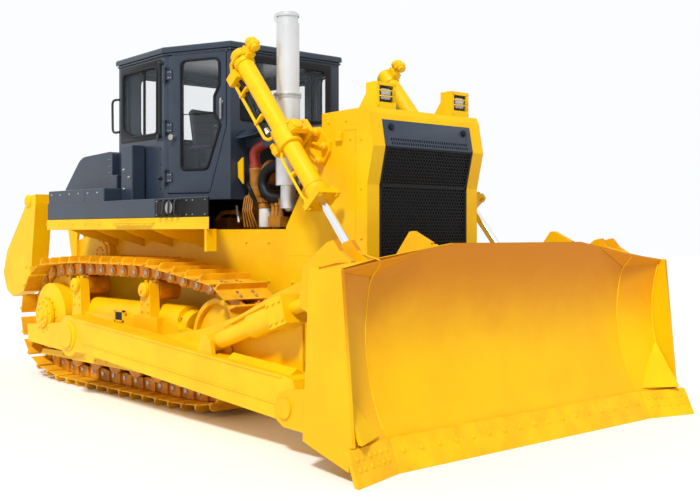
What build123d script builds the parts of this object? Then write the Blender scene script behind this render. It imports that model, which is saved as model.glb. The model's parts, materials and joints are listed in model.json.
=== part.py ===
"""Large track-type bulldozer with a semi-U blade and a rear parallelogram ripper.

Frame: +X forward, +Y to the machine's left, +Z up, millimetres.
The origin is on the ground, under the middle of the whole outline.
Stations are measured rearwards from the blade's cutting edge: st(1000) lies
one metre behind the edge.
"""
from build123d import *
import math
import os

# Overall layout
RUN_FIT = 0.3                # clearance of pieces that seat on each other
SHAFT_FIT = 0.08             # radial clearance of a shaft in its hole

# Track chain
GAUGE = 2140.0
SHOE_WIDTH = 560.0
SHOE_COUNT = 41
GROUSER_HEIGHT = 65.0        # below the shoe plate
SHOE_PLATE = 15.0
PIN_TO_SHOE = 75.0
PIN_TO_RAIL = 55.0
RAIL_THICK = 48.0
RAIL_SPREAD = 170.0          # between the middles of the two rails

# Running gear stations and heights
SPROCKET_ST = 5912.0
SPROCKET_Z = 712.0
SPROCKET_TEETH = 27
SPROCKET_PITCH_R = 495.6
SPROCKET_WIDTH = 96.0
DRUM_R = 366.0               # final drive drum beside the sprocket
DRUM_FACE = 190.0            # its flat end from the track's middle
DRUM_CONE = 235.0            # and the end of its cone
CAP_R = 130.0
IDLER_ST = 2740.0
IDLER_Z = 652.0
IDLER_R = 396.0
IDLER_WIDTH = 210.0
ROLLER_R = 125.0
ROLLER_HALF = 150.0
ROLLER_COUNT = 6
ROLLER_FRONT_ST = 3290.0
ROLLER_REAR_ST = 5350.0
CARRIER_R = 100.0
CARRIER_Z = 1088.0
CARRIER_STS = (3780.0, 5200.0)

# Hull and nose
NOSE_HALF = 690.0
HULL_HALF = NOSE_HALF
HULL_BOTTOM = 500.0
HULL_TOP = 1440.0
HULL_WALL = 40.0
NOSE_ST = 1260.0
NOSE_TOP = 2700.0
NOSE_TOP_REAR_ST = 1840.0
CHEEK_REAR_ST = 2345.0        # the nose's cheeks end and the bay's walls start
GRILLE_HALF = 550.0
PULL_ST = 1240.0             # vertical hole in the front pull plate
PULL_Z = 1000.0
PULL_THICK = 90.0
PULL_HOLE_R = 32.0
GRILLE_TOP = 2600.0
HOOD_Z = 2665.0
HOOD_HALF = 515.0
MANIFOLD_Y = -340.0
MANIFOLD_Z = 1900.0
MANIFOLD_R = 62.0

# Deck, boxes and tank
DECK_Z = 1680.0
DECK_THICK = 110.0
DECK_HALF = 1330.0
DECK_FRONT_ST = 2640.0
DECK_CUT_ST = 3600.0         # where the slanted front edge meets the hull
DECK_REAR_ST = 5860.0
BOX_TOP = 2110.0
BOX_FRONT_ST = 4560.0
CABINET_TOP = 2560.0
TANK_TOP = 2520.0
TANK_HALF = 1000.0

# Cab
CAB_FLOOR = 1975.0
CAB_EAVE = 3455.0
ROOF_THICK = 60.0
CAB_WALL = 60.0
CAB_FRONT_ST = 3200.0
CAB_WIDE_ST = 3950.0
CAB_REAR_ST = 4970.0
CAB_FRONT_HALF = 700.0
CAB_WIDE_HALF = 985.0
CAB_REAR_HALF = 920.0
CAB_KNEE_Z = 2690.0
DOOR_TOE_RUN = 210.0         # how far the door's lower front corner is cut back
DOOR_GAP = 6.0
WINDOW_TOP = CAB_EAVE - 65.0
GLASS_THICK = 8.0

# Blade
BLADE_HALF = 2000.0
WING_ST_Y = 1560.0           # where the wings bend forward
WING_ANGLE = 16.0
BLADE_TOP = 1570.0
BLADE_CORNER_TOP = 1400.0
TOP_FLAT_HALF = 800.0
EDGE_TOP = 227.0
EDGE_THICK = 35.0
EDGE_TIP_HALF = 2065.0
SKIN = 30.0
EAR_Y = 860.0                # ears that show above the top edge
LUG_GAP = 120.0              # width inside the lift rod's fork
END_PLATE = 30.0

# Push arms
ARM_OUTER = BLADE_HALF - 250.0
ARM_WIDTH = 240.0
ARM_HEIGHT = 330.0
TRUNNION_ST = 4500.0
TRUNNION_Z = 620.0
TRUNNION_R = 75.0
ARM_BOSS_R = 205.0
ARM_PIN_ST = 950.0
ARM_PIN_Z = 350.0
BRACE_Y = ARM_OUTER - ARM_WIDTH / 2
BRACE_REAR = (2100.0, 735.0)   # station and height of the eye on the arm
BRACE_FRONT = (800.0, 1160.0)  # and of the eye on the blade
BRACE_EYE_R = 72.0
BRACE_EYE = 62.0               # half width of the brace's eyes

# Lift cylinders
LIFT_Y = 930.0
YOKE_ST = 2030.0
YOKE_Z = 2470.0
LIFT_EYE_ST = 750.0
LIFT_EYE_Z = 980.0
LIFT_TOP_REACH = 1030.0      # trunnion to the barrel's top end
LIFT_HEAD_REACH = 745.0      # trunnion to the barrel's rod end
LIFT_BORE_R = 66.0
LIFT_TUBE_R = 83.0
LIFT_ROD_R = 39.0
YOKE_BOLTS = ((1857.0, 2526.0), (1753.0, 2396.0), (1821.0, 2274.0))

# Ripper
RIP_MOUNT_ST = 6510.0
RIP_LOW_Z = 1020.0
RIP_LINK_RISE = 90.0
RIP_LINK_RUN = 640.0
RIP_PIN_SPREAD = 930.0      # lower pins to upper pins
RIP_PIN_R = 50.0
RIP_LINK_Y = 617.0
RIP_LINK_WIDTH = 140.0
RIP_SIDE_Y = 850.0
RIP_SIDE_THICK = 220.0
RIP_CYL_Y = 330.0
RIP_CYL_RISE = 880.0         # barrel pins above the lower mount pins
RIP_TUBE_R = 75.0
RIP_ROD_R = 38.0
RIP_BORE_R = 60.0
RIP_HEAD = 630.0             # barrel pin to the barrel's rod end
RIP_PISTON = 301.0          # barrel pin to the piston's face
SHANK_HOLE_R = 32.0
SHANK_HOLE_UP = 320.0        # above the lower beam pins

RIP_BEAM_BACK = 746.0        # lower beam pin to the beam's rear
EDGE_NOSE = (EDGE_TIP_HALF - WING_ST_Y) * math.tan(math.radians(WING_ANGLE))
# The cutting edge's X puts the origin under the middle of the outline
EDGE_X = (RIP_MOUNT_ST + RIP_LINK_RUN + RIP_BEAM_BACK - EDGE_NOSE) / 2


def st(distance):
    """X of a station this far behind the cutting edge."""
    return EDGE_X - distance


def box(x0, x1, y0, y1, z0, z1):
    """Box between opposite corners, in any order along X."""
    low, high = min(x0, x1), max(x0, x1)
    solid = Box(high - low, y1 - y0, z1 - z0, align=(Align.MIN, Align.MIN, Align.MIN))
    return Pos(low, y0, z0) * solid


def slab_xz(points, y0, y1):
    """Side profile given as (x, z) points, running from y0 to y1."""
    face = make_face(Polyline(*[(x, y0, z) for x, z in points], close=True))
    return extrude(face, amount=y1 - y0, dir=(0, 1, 0))


def slab_yz(points, x0, x1):
    """Front profile given as (y, z) points, running from x0 to x1."""
    face = make_face(Polyline(*[(x0, y, z) for y, z in points], close=True))
    return extrude(face, amount=x1 - x0, dir=(1, 0, 0))


def slab_xy(points, z0, z1):
    """Plan profile given as (x, y) points, running from z0 to z1."""
    face = make_face(Polyline(*[(x, y, z0) for x, y in points], close=True))
    return extrude(face, amount=z1 - z0, dir=(0, 0, 1))


def bar(start, end, radius):
    """Round bar between two points."""
    axis = Vector(*end) - Vector(*start)
    place = Plane(origin=start, z_dir=axis)
    return place * Cylinder(radius, axis.length, align=(Align.CENTER, Align.CENTER, Align.MIN))


def cross_pin(x, z, radius, y0, y1):
    """Round bar across the machine."""
    return bar((x, y0, z), (x, y1, z), radius)


def turned_y(x, z, outline):
    """Solid turned about a cross axis: outline of (radius, y) points."""
    face = make_face(Polyline(*[(x + radius, y, z) for radius, y in outline], close=True))
    return revolve(face, axis=Axis((x, 0, z), (0, 1, 0)))


def mirrored(shape):
    """The same piece on the other side of the machine."""
    return mirror(shape, about=Plane.XZ)


def save(name, *shapes):
    """Write one piece, or several that one body carries, as a STEP file."""
    solids = [solid for shape in shapes for solid in shape.solids()]
    part = solids[0] if len(solids) == 1 else Compound(solids)
    export_step(part, f"parts/{name}.step")


def save_pair(name, shape):
    """Write the right-hand piece and its mirror image."""
    save(f"{name}_right", shape)
    save(f"{name}_left", mirrored(shape))


# The chain follows the outline around these circles, seen from the right
def belt(circles, count):
    """Pin centres spaced evenly on the taut line around circles (x, z, r)."""
    runs = []
    total = len(circles)
    touch = []
    for index in range(total):
        x0, z0, r0 = circles[index]
        x1, z1, r1 = circles[(index + 1) % total]
        gap = math.hypot(x1 - x0, z1 - z0)
        heading = math.atan2(z1 - z0, x1 - x0)
        normal = heading + math.acos((r0 - r1) / gap)
        touch.append(normal)
    for index in range(total):
        x0, z0, r0 = circles[index]
        x1, z1, r1 = circles[(index + 1) % total]
        entry, leave = touch[index - 1], touch[index]
        while leave > entry:
            leave -= 2 * math.pi
        runs.append(("arc", (x0, z0, r0, entry), (entry - leave) * r0))
        start = (x0 + r0 * math.cos(leave), z0 + r0 * math.sin(leave))
        end = (x1 + r1 * math.cos(leave), z1 + r1 * math.sin(leave))
        runs.append(("line", (start, end), math.dist(start, end)))
    length = sum(run[2] for run in runs)
    pins = []
    for number in range(count):
        rest = length * number / count
        for kind, data, size in runs:
            if rest <= size:
                break
            rest -= size
        if kind == "arc":
            x, z, r, entry = data
            turn = entry - rest / r
            pins.append((x + r * math.cos(turn), z + r * math.sin(turn)))
        else:
            (xa, za), (xb, zb) = data
            share = rest / size
            pins.append((xa + (xb - xa) * share, za + (zb - za) * share))
    return pins, length


PIN_Z = GROUSER_HEIGHT + SHOE_PLATE + PIN_TO_SHOE
ROLLER_Z = PIN_Z + PIN_TO_RAIL + ROLLER_R + RUN_FIT
HALF_LINK = 114.3
IDLER_PIN_R = math.hypot(IDLER_R + RUN_FIT + PIN_TO_RAIL, HALF_LINK)
CHAIN_CIRCLES = [
    (st(SPROCKET_ST), SPROCKET_Z, SPROCKET_PITCH_R),
    (st(CARRIER_STS[1]), CARRIER_Z, CARRIER_R + PIN_TO_RAIL + 6),
    (st(CARRIER_STS[0]), CARRIER_Z, CARRIER_R + PIN_TO_RAIL + 6),
    (st(IDLER_ST), IDLER_Z, IDLER_PIN_R),
    (st(ROLLER_FRONT_ST - 180), ROLLER_Z, ROLLER_Z - PIN_Z),
    (st(ROLLER_REAR_ST + 180), ROLLER_Z, ROLLER_Z - PIN_Z),
]
PINS, CHAIN_LENGTH = belt(CHAIN_CIRCLES, SHOE_COUNT)


def chain_outline(marks):
    """Closed outline through (share of a link, outward offset) marks on every link."""
    points = []
    for index, (x0, z0) in enumerate(PINS):
        x1, z1 = PINS[(index + 1) % len(PINS)]
        length = math.dist((x0, z0), (x1, z1))
        ux, uz = (x1 - x0) / length, (z1 - z0) / length
        for share, out in marks:
            along = share * length
            points.append((x0 + ux * along - uz * out, z0 + uz * along + ux * out))
    return points


def track():
    """Right-hand chain: shoes with one grouser each on two rails of links."""
    seat = PIN_TO_SHOE
    face = seat + SHOE_PLATE
    tip = face + GROUSER_HEIGHT
    middle = -GAUGE / 2
    near, far = middle - SHOE_WIDTH / 2, middle + SHOE_WIDTH / 2
    shoes = slab_xz(chain_outline([(0.03, face), (0.16, face), (0.19, tip), (0.25, tip),
                                   (0.30, face), (0.97, face)]), near, far)
    shoes -= slab_xz(chain_outline([(0.03, seat), (0.97, seat)]), near - 1, far + 1)
    outer = chain_outline([(0.03, seat + 2), (0.97, seat + 2)])
    inner = chain_outline([(0.09, -0.72 * PIN_TO_RAIL), (0.22, -PIN_TO_RAIL),
                           (0.78, -PIN_TO_RAIL), (0.91, -0.72 * PIN_TO_RAIL)])
    for side in (-1, 1):
        y0 = middle + side * RAIL_SPREAD / 2 - RAIL_THICK / 2
        rail = slab_xz(outer, y0, y0 + RAIL_THICK)
        rail -= slab_xz(inner, y0 - 1, y0 + RAIL_THICK + 1)
        shoes += rail
    return shoes


def sprocket():
    """Toothed drive wheel of one side with its final drive drum and bearing cap."""
    x, z, middle = st(SPROCKET_ST), SPROCKET_Z, -GAUGE / 2
    tip_r, root_r = SPROCKET_PITCH_R + 22, SPROCKET_PITCH_R - 42
    step = 2 * math.pi / SPROCKET_TEETH
    first = math.atan2(PINS[0][1] - z, PINS[0][0] - x) + step / 2
    points = []
    for tooth in range(SPROCKET_TEETH):
        angle = first + tooth * step
        for share, radius in ((-0.32, root_r), (-0.12, tip_r), (0.12, tip_r), (0.32, root_r)):
            turn = angle + share * step
            points.append((x + radius * math.cos(turn), z + radius * math.sin(turn)))
    rim = slab_xz(points, middle - SPROCKET_WIDTH / 2, middle + SPROCKET_WIDTH / 2)
    hub_in = -HULL_HALF - RUN_FIT
    hub = cross_pin(x, z, DRUM_R - 36, middle - 60, hub_in)
    drum = turned_y(x, z, [(0, middle - 47), (DRUM_R, middle - 47), (DRUM_R, middle - DRUM_FACE),
                           (CAP_R + 30, middle - DRUM_CONE), (0, middle - DRUM_CONE)])
    cap = cross_pin(x, z, CAP_R, middle - 300, middle - DRUM_CONE + 1)
    return rim + hub + drum + cap


def idler():
    """Front idler wheel with domed sides and a centre flange between the rails."""
    x, z, middle = st(IDLER_ST), IDLER_Z, -GAUGE / 2
    flange_half = (RAIL_SPREAD - RAIL_THICK) / 2 - 6
    wheel = cross_pin(x, z, IDLER_R, middle - IDLER_WIDTH / 2, middle + IDLER_WIDTH / 2)
    wheel += cross_pin(x, z, IDLER_R + 20, middle - flange_half, middle + flange_half)
    for side in (-1, 1):
        face = middle + side * IDLER_WIDTH / 2
        rim, hub = IDLER_R - 45, AXLE_R + 90
        wheel -= turned_y(x, z, [(hub, face), (rim, face), (rim, face - side * 45)])
    wheel -= cross_pin(x, z, AXLE_R + SHAFT_FIT, middle - 200, middle + 200)
    return wheel


FRAME_REAR_ST = 5370.0
IDLER_FORK = IDLER_WIDTH / 2 + 6         # fork arm's inner face from the track's middle
FRAME_HALF = 190.0
FORK_THICK = 50.0
AXLE_R = 60.0
SPRING_R = 150.0                         # housing of the chain's tension spring


def track_frame():
    """Box frame between the chain runs, with fork arms, guards and carrier posts."""
    middle = -GAUGE / 2
    rear, front = st(FRAME_REAR_ST), st(3230)
    side = [(rear, 492), (rear, 690), (st(5230), 800), (st(3330), 800), (front, 740),
            (front, 492)]
    frame = slab_xz(side, middle - FRAME_HALF, middle + FRAME_HALF)
    frame += bar((st(5150), middle, 800), (st(3330), middle, 800), SPRING_R)
    frame += bar((st(3331), middle, 800), (st(3270), middle, 800), SPRING_R - 50)
    frame += bar((st(3290), middle, 790), (st(3200), middle, 770), SPRING_R - 14)
    for turn in (-1, 1):
        inner = middle + turn * IDLER_FORK
        y0, y1 = sorted((inner, inner + turn * FORK_THICK))
        arm = [(front - 60, 560), (front - 60, 770), (st(IDLER_ST) - 60, 690),
               (st(IDLER_ST) + 110, 680), (st(IDLER_ST) + 130, 620), (st(IDLER_ST) + 90, 560)]
        frame += slab_xz(arm, y0, y1)
        y0, y1 = sorted((middle + turn * (ROLLER_HALF + 10), middle + turn * FRAME_HALF))
        guard = [(st(ROLLER_REAR_ST) - 80, 500), (st(ROLLER_FRONT_ST) + 60, 500),
                 (st(ROLLER_FRONT_ST) + 20, 260), (st(ROLLER_REAR_ST) - 40, 260)]
        frame += slab_xz(guard, y0, y1)
    frame += cross_pin(st(IDLER_ST), IDLER_Z, AXLE_R, middle - IDLER_FORK - FORK_THICK,
                       middle + IDLER_FORK + FORK_THICK)
    for piece in bearing_bracket(middle, rear) + carrier_posts(middle):
        frame += piece
    for index in range(ROLLER_COUNT):
        frame += cross_pin(roller_x(index), ROLLER_Z, AXLE_R - 15, middle - ROLLER_HALF - 30,
                           middle + ROLLER_HALF + 30)
    return frame


def bearing_bracket(middle, rear):
    """Outboard bracket that holds the sprocket's bearing cap, and the chain guard below it."""
    x, z = st(SPROCKET_ST), SPROCKET_Z
    near, far = middle - DRUM_CONE - 5, middle - DRUM_CONE - 45
    plate = [(x - 415, z - 115), (x - 385, z - 310), (rear - 60, 362), (rear + 300, 400),
             (rear + 330, 700), (rear + 60, 690), (x + 180, z - 70)]
    bracket = slab_xz(plate, far, near) + cross_pin(x, z, CAP_R + 62, far, near)
    bracket -= cross_pin(x, z, CAP_R + SHAFT_FIT, far - 1, near + 1)
    spacer = box(rear + 20, rear + 280, near - 1, middle - FRAME_HALF + 1, 500, 690)
    guard = [(x - 240, 262), (rear + 120, 262), (rear + 120, 505), (rear, 505), (rear - 40, 340),
             (x - 200, 325)]
    return [bracket, spacer, slab_xz(guard, middle - FRAME_HALF, middle - FRAME_HALF + 25)]


def carrier_posts(middle):
    """Posts with clamped bosses that hold the carrier rollers' axles from outside."""
    pieces = []
    for distance in CARRIER_STS:
        x = st(distance)
        post = [(x - 110, 700), (x + 110, 700), (x + 78, CARRIER_Z + 66), (x - 78, CARRIER_Z + 66)]
        pieces.append(slab_xz(post, middle - 232, middle - 125))
        pieces.append(cross_pin(x, CARRIER_Z, 52, middle - 262, middle - 231))
        pieces.append(cross_pin(x, CARRIER_Z, AXLE_R - 15, middle - 240, middle + 118))
    x = st(CARRIER_STS[0])
    pieces.append(box(x - 190, x + 250, middle - 252, middle - FRAME_HALF + 1, 640, 830))
    return pieces


def roller_x(index):
    """X of a track roller, counted from the front one."""
    step = (ROLLER_REAR_ST - ROLLER_FRONT_ST) / (ROLLER_COUNT - 1)
    return st(ROLLER_FRONT_ST + index * step)


def track_rollers():
    """The six lower rollers, each with flanges outside the rails."""
    middle = -GAUGE / 2
    rollers = []
    for index in range(ROLLER_COUNT):
        x = roller_x(index)
        roller = cross_pin(x, ROLLER_Z, ROLLER_R, middle - ROLLER_HALF, middle + ROLLER_HALF)
        outer = RAIL_SPREAD / 2 + RAIL_THICK / 2 + 5
        for side in (-1, 1):
            y0, y1 = sorted((middle + side * outer, middle + side * ROLLER_HALF))
            roller += cross_pin(x, ROLLER_Z, ROLLER_R + 22, y0, y1)
        roller -= cross_pin(x, ROLLER_Z, 45 + SHAFT_FIT, middle - 200, middle + 200)
        rollers.append(roller)
    return rollers


def carrier_rollers():
    """The two upper rollers under the returning chain."""
    middle = -GAUGE / 2
    rollers = []
    for distance in CARRIER_STS:
        roller = cross_pin(st(distance), CARRIER_Z, CARRIER_R, middle - 115, middle + 115)
        roller -= cross_pin(st(distance), CARRIER_Z, 45 + SHAFT_FIT, middle - 200, middle + 200)
        rollers.append(roller)
    return rollers


def main_frame():
    """Welded hull between the tracks: open tub in front, gear case behind, pull plate."""
    half, wall = HULL_HALF, HULL_WALL
    front = st(CHEEK_REAR_ST)
    side = [(st(6330), 700), (st(6330), 1560), (st(5900), DECK_Z), (front, DECK_Z),
            (front, HULL_TOP), (st(1500), HULL_TOP), (st(1330), 1180), (st(1330), 900),
            (st(1750), HULL_BOTTOM), (st(6050), HULL_BOTTOM)]
    hull = slab_xz(side, -half, half)
    hull -= box(st(4500), st(1560), -half + wall, half - wall, HULL_BOTTOM + wall, DECK_Z + 20)
    for case in (cross_pin(st(5640), 1400, 205, -half - 85, -half + 1),
                 cross_pin(st(5640), 1400, 150, -half - 100, -half - 84)):
        hull += case
        hull += mirrored(case)
    plate = box(st(1340), st(1180), -95, 95, PULL_Z - PULL_THICK / 2, PULL_Z + PULL_THICK / 2)
    hull += plate
    hull -= bar((st(PULL_ST), 0, PULL_Z - PULL_THICK), (st(PULL_ST), 0, PULL_Z + PULL_THICK),
                PULL_HOLE_R)
    return hull


def equalizer_bar():
    """Cross beam that rocks under the hull and rests on both track frames."""
    x = st(3560)
    reach = GAUGE / 2 - FRAME_HALF - RUN_FIT
    beam = box(x - 90, x + 90, -reach, reach, 330, HULL_BOTTOM - RUN_FIT)
    return beam


def engine():
    """Engine in the open bay: block, heads, manifold, turbocharger and filters."""
    front, rear = st(2120), st(3360)
    block = box(rear, front, -290, 290, 900, 1950)
    sump = box(rear + 120, front - 60, -230, 230, 700, 901)
    rocker = []
    for index in range(5):
        x = rear + 320 + index * 200
        rocker.append(box(x - 88, x + 88, -150, 150, 1949, 2110))
    manifold = bar((rear + 80, MANIFOLD_Y, MANIFOLD_Z), (front - 60, MANIFOLD_Y, MANIFOLD_Z),
                   MANIFOLD_R)
    filters = []
    for x in (st(2830), st(2990)):
        filters.append(bar((x, -400, 1560), (x, -400, 1880), 62))
    shape = block + sump + manifold
    for piece in rocker + filters:
        shape += piece
    for y0, y1 in ((-HULL_HALF + HULL_WALL, -289), (289, HULL_HALF - HULL_WALL)):
        for x in (st(2450), st(3250)):
            shape += box(x - 60, x + 60, y0, y1, 1180, 1320)
    return shape


def radiator_guard():
    """Nose weldment: two cheeks, top plate and belly, open front and rear."""
    rear = st(CHEEK_REAR_ST) + RUN_FIT
    profile = [(st(1240), 2650), (st(1262), NOSE_TOP), (st(NOSE_TOP_REAR_ST), NOSE_TOP - 14),
               (st(NOSE_TOP_REAR_ST), 2560), (st(2160), 2480), (st(2100), 2050), (rear, 1700),
               (rear, HULL_TOP + RUN_FIT), (st(1500), HULL_TOP + RUN_FIT),
               (st(1330 - 0.3), 1180), (st(1260), 1180), (st(1260), 2050), (st(1185), 2370)]
    shell = slab_xz(profile, -NOSE_HALF, NOSE_HALF)
    inside = [(st(1000), 1230), (st(1000), GRILLE_TOP + RUN_FIT),
              (st(2500), GRILLE_TOP + RUN_FIT), (st(2500), HULL_TOP - 5),
              (st(1540), HULL_TOP - 5), (st(1400), 1230)]
    shell -= slab_xz(inside, -GRILLE_HALF, GRILLE_HALF)
    thin = NOSE_HALF - HULL_WALL
    shell -= box(st(2500), st(NOSE_TOP_REAR_ST + 60), -thin, thin, HULL_TOP - 5, NOSE_TOP + 5)
    return shell


def grille():
    """Grille panels in the nose: slotted upper panel and perforated lower panel."""
    lean = [(1232, GRILLE_TOP), (1187, 2372), (1262, 2050), (1262, 1234)]
    outer = [(st(s + 14), z) for s, z in lean]
    inner = [(st(s + 44), z) for s, z in reversed(lean)]
    panel = slab_xz(outer + inner, -GRILLE_HALF + RUN_FIT, GRILLE_HALF - RUN_FIT)
    for z in (2535, 2430):
        for index in range(11):
            y = -GRILLE_HALF + 100 + index * (2 * GRILLE_HALF - 200) / 10
            panel -= box(st(1400), st(1100), y - 24, y + 24, z - 14, z + 14)
    for row in range(10):
        z = 1330 + row * 98
        for index in range(10):
            y = -GRILLE_HALF + 80 + index * (2 * GRILLE_HALF - 160) / 9
            panel -= box(st(1400), st(1100), y - 36, y + 36, z - 34, z + 34)
    return panel


def hood():
    """Crowned cover over the open engine bay, from the nose back to the cab's front."""
    front, rear = st(NOSE_TOP_REAR_ST) - RUN_FIT, st(CAB_FRONT_ST) + RUN_FIT
    top, half, sheet = HOOD_Z, HOOD_HALF, 25.0
    outer = [(-half, top - 190), (-half, top - 90), (-half + 70, top - 30), (-220, top),
             (220, top), (half - 70, top - 30), (half, top - 90), (half, top - 190)]
    inner = [(y * (half - sheet) / half, z - sheet) for y, z in outer]
    return slab_yz(outer, rear, front) - slab_yz(inner, rear - 1, front + 1)


def lamps():
    """Head lamps on the nose, each in an open box with fin-shaped guards."""
    base = NOSE_TOP
    pieces = []
    for side in (-1, 1):
        y0, y1 = sorted((side * 350, side * 575))
        lamp = box(st(1400), st(1262), y0, y1, base - 2, base + 222)
        lamp -= box(st(1340), st(1200), y0 + 30, y1 - 30, base + 52, base + 192)
        fin = [(st(1262), base - 3), (st(1262), base + 222), (st(1330), base + 226),
               (st(1480), base + 30), (st(1500), base - 6)]
        for y in (y0, y1 - 12):
            lamp += slab_xz(fin, y, y + 12)
        pieces.append(lamp)
    cut = slab_xz([(st(1262) + 5, base), (st(1262), base), (st(1840), base - 14),
                   (st(1840), base - 80), (st(1262) + 5, base - 80)], -700, 700)
    return [piece - cut for piece in pieces]


def stack():
    """Exhaust stack: muffler tube, clamp ring, upper pipe and rain cap."""
    x, y = st(2380), -640
    tube = bar((x, y, 2080), (x, y, 2900), 112)
    tube += bar((x, y, 2880), (x, y, 2925), 122)
    tube += bar((x, y, 2924), (x, y, 3560), 105)
    tube += bar((x, y, 3559), (x, y, 3640), 94)
    tube += bar((x, y, 3622), (x, y, 3645), 106)
    tube += bar((x, y, 3644), (x, y, 3662), 84)
    weight = bar((x - 150, y - 12, 3640), (x - 150, y + 12, 3640), 46)
    weight += box(x - 120, x - 60, y - 12, y + 12, 3640, 3660)
    elbow = bar((x, y, 2081), (x, y, MANIFOLD_Z - 30), 70)
    elbow += bar((x, y, MANIFOLD_Z), (x, MANIFOLD_Y - MANIFOLD_R - RUN_FIT, MANIFOLD_Z), 55)
    return tube + weight + elbow


def fender():
    """Right-hand deck over the track, with its slanted front edge and support ribs."""
    y_out = -DECK_HALF
    y_in = -HULL_HALF - RUN_FIT
    plan = deck_plan(y_out, y_in)
    deck = slab_xy(plan, DECK_Z, DECK_Z + DECK_THICK)
    leg = box(st(DECK_FRONT_ST + 70), st(DECK_FRONT_ST + 40), y_out, y_out + 110,
              HULL_TOP + 40, DECK_Z + 1)
    deck += leg
    for distance in (3700, 4270, 4840, 5410):
        rib = [(y_out + 60, DECK_Z), (y_in, DECK_Z), (y_in, HULL_TOP + 60),
               (y_in - 50, HULL_TOP + 80), (y_out + 240, DECK_Z - 70)]
        deck += slab_yz(rib, st(distance) - 12, st(distance) + 12)
    return deck


def deck_plan(y_out, y_in):
    """Plan of the deck between two widths, cut back at its front."""
    slope = (DECK_CUT_ST - DECK_FRONT_ST) / (DECK_HALF - HULL_HALF)
    cut_in = DECK_FRONT_ST + slope * (y_in + DECK_HALF)
    cut_out = DECK_FRONT_ST + slope * (y_out + DECK_HALF)
    return [(st(DECK_REAR_ST), y_out), (st(cut_out), y_out), (st(cut_in), y_in),
            (st(DECK_REAR_ST), y_in)]


def side_box():
    """Battery box, step and filter cabinet on the right-hand deck, beside the cab."""
    z0 = DECK_Z + DECK_THICK
    step = CAB_FLOOR - RUN_FIT
    y_out, y_in = -DECK_HALF + 5, -HULL_HALF - RUN_FIT
    plan = deck_plan(y_out, y_in)
    body = slab_xy(plan, z0 + RUN_FIT, step)
    body += box(st(5830), st(BOX_FRONT_ST), y_out, y_in, step - 1, BOX_TOP)
    body -= slab_xy(cab_plan(-12), step, BOX_TOP + 10)
    cabinet = box(st(4870), st(4640), -1120, -cab_side(4640) - 14, step - 1, CABINET_TOP)
    body -= box(st(5835) - 60, st(5835), y_out - 10, y_in + 10, z0 - 10, BOX_TOP + 10)
    return body + cabinet


def cab_side(distance):
    """Half width of the cab behind its widest place, at a station."""
    share = (distance - CAB_WIDE_ST) / (CAB_REAR_ST - CAB_WIDE_ST)
    return CAB_WIDE_HALF + (CAB_REAR_HALF - CAB_WIDE_HALF) * share


def rear_tank():
    """Fuel tank behind the cab, sloping at its rear."""
    front = st(CAB_REAR_ST) - 12
    profile = [(front, BOX_TOP + RUN_FIT), (front, TANK_TOP + 20), (st(5670), TANK_TOP - 10),
               (st(5760), TANK_TOP - 60), (st(6070), 2190), (st(6090), BOX_TOP + RUN_FIT)]
    tank = slab_xz(profile, -TANK_HALF, TANK_HALF)
    low = box(st(6090), front, -HULL_HALF + RUN_FIT, HULL_HALF - RUN_FIT, DECK_Z + RUN_FIT,
              BOX_TOP + 1)
    return tank + low


def cab_plan(inset):
    """Plan outline of the cab, drawn in from the outer faces."""
    front = (CAB_FRONT_ST + inset, CAB_FRONT_HALF - 0.75 * inset)
    wide = (CAB_WIDE_ST, CAB_WIDE_HALF - 1.05 * inset)
    rear = (CAB_REAR_ST - inset, CAB_REAR_HALF - 1.0 * inset)
    right = [(st(s), -y) for s, y in (front, wide, rear)]
    left = [(st(s), y) for s, y in (rear, wide, front)]
    return right + left


class SidePanel:
    """The slanted front side panel of the cab, where the right-hand door sits."""

    def __init__(self):
        self.rear = Vector(st(CAB_WIDE_ST), -CAB_WIDE_HALF, 0)
        self.front = Vector(st(CAB_FRONT_ST), -CAB_FRONT_HALF, 0)
        self.along = (self.front - self.rear).normalized()
        self.out = Vector(self.along.Y, -self.along.X, 0)
        self.width = (self.front - self.rear).length

    def point(self, u, z, out=0.0):
        """Point u forward of the rear corner at height z, this far out of the panel."""
        spot = self.rear + self.along * u + self.out * out
        return Vector(spot.X, spot.Y, z)

    def prism(self, outline, out0, out1):
        """Solid over an outline of (u, z) points between two depths."""
        face = make_face(Polyline(*[self.point(u, z, out0) for u, z in outline], close=True))
        return extrude(face, amount=out1 - out0, dir=self.out)


PANEL = SidePanel()
HINGE_U = 22.0
HINGE_OUT = 22.0
HINGE_HEIGHTS = (2200.0, 2700.0, 3230.0)
DOOR_BOTTOM = 2040.0
DOOR_TOP = CAB_EAVE - 30.0
DOOR_REAR = 55.0
DOOR_FRONT = PANEL.width - 50.0


def door_outline(grow):
    """Door edge, with its slanted lower front corner."""
    toe = DOOR_FRONT - DOOR_TOE_RUN
    return [(DOOR_REAR - grow, DOOR_BOTTOM - grow), (toe + grow, DOOR_BOTTOM - grow),
            (DOOR_FRONT + grow, CAB_KNEE_Z), (DOOR_FRONT + grow, DOOR_TOP + grow),
            (DOOR_REAR - grow, DOOR_TOP + grow)]


def door_window(grow):
    """Window in the door: one tall pane above a kick panel."""
    rear, front, low, high = DOOR_REAR + 85, DOOR_FRONT - 75, 2280, DOOR_TOP - 55
    return [(rear - grow, low - grow), (front - 0.5 * DOOR_TOE_RUN + grow, low - grow),
            (front + grow, CAB_KNEE_Z), (front + grow, high + grow),
            (rear - grow, high + grow)]


def cab_shell():
    """Hollow cab with door openings and windows cut."""
    shell = slab_xy(cab_plan(0), CAB_FLOOR, CAB_EAVE)
    shell -= slab_xy(cab_plan(CAB_WALL), CAB_FLOOR + CAB_WALL, CAB_EAVE + 1)
    opening = PANEL.prism(door_outline(DOOR_GAP), -CAB_WALL - 60, 60)
    shell -= opening
    shell -= mirrored(opening)
    for window in (front_window(0), rear_window(0), side_window(0), mirrored(side_window(0))):
        shell -= window
    return shell


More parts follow.
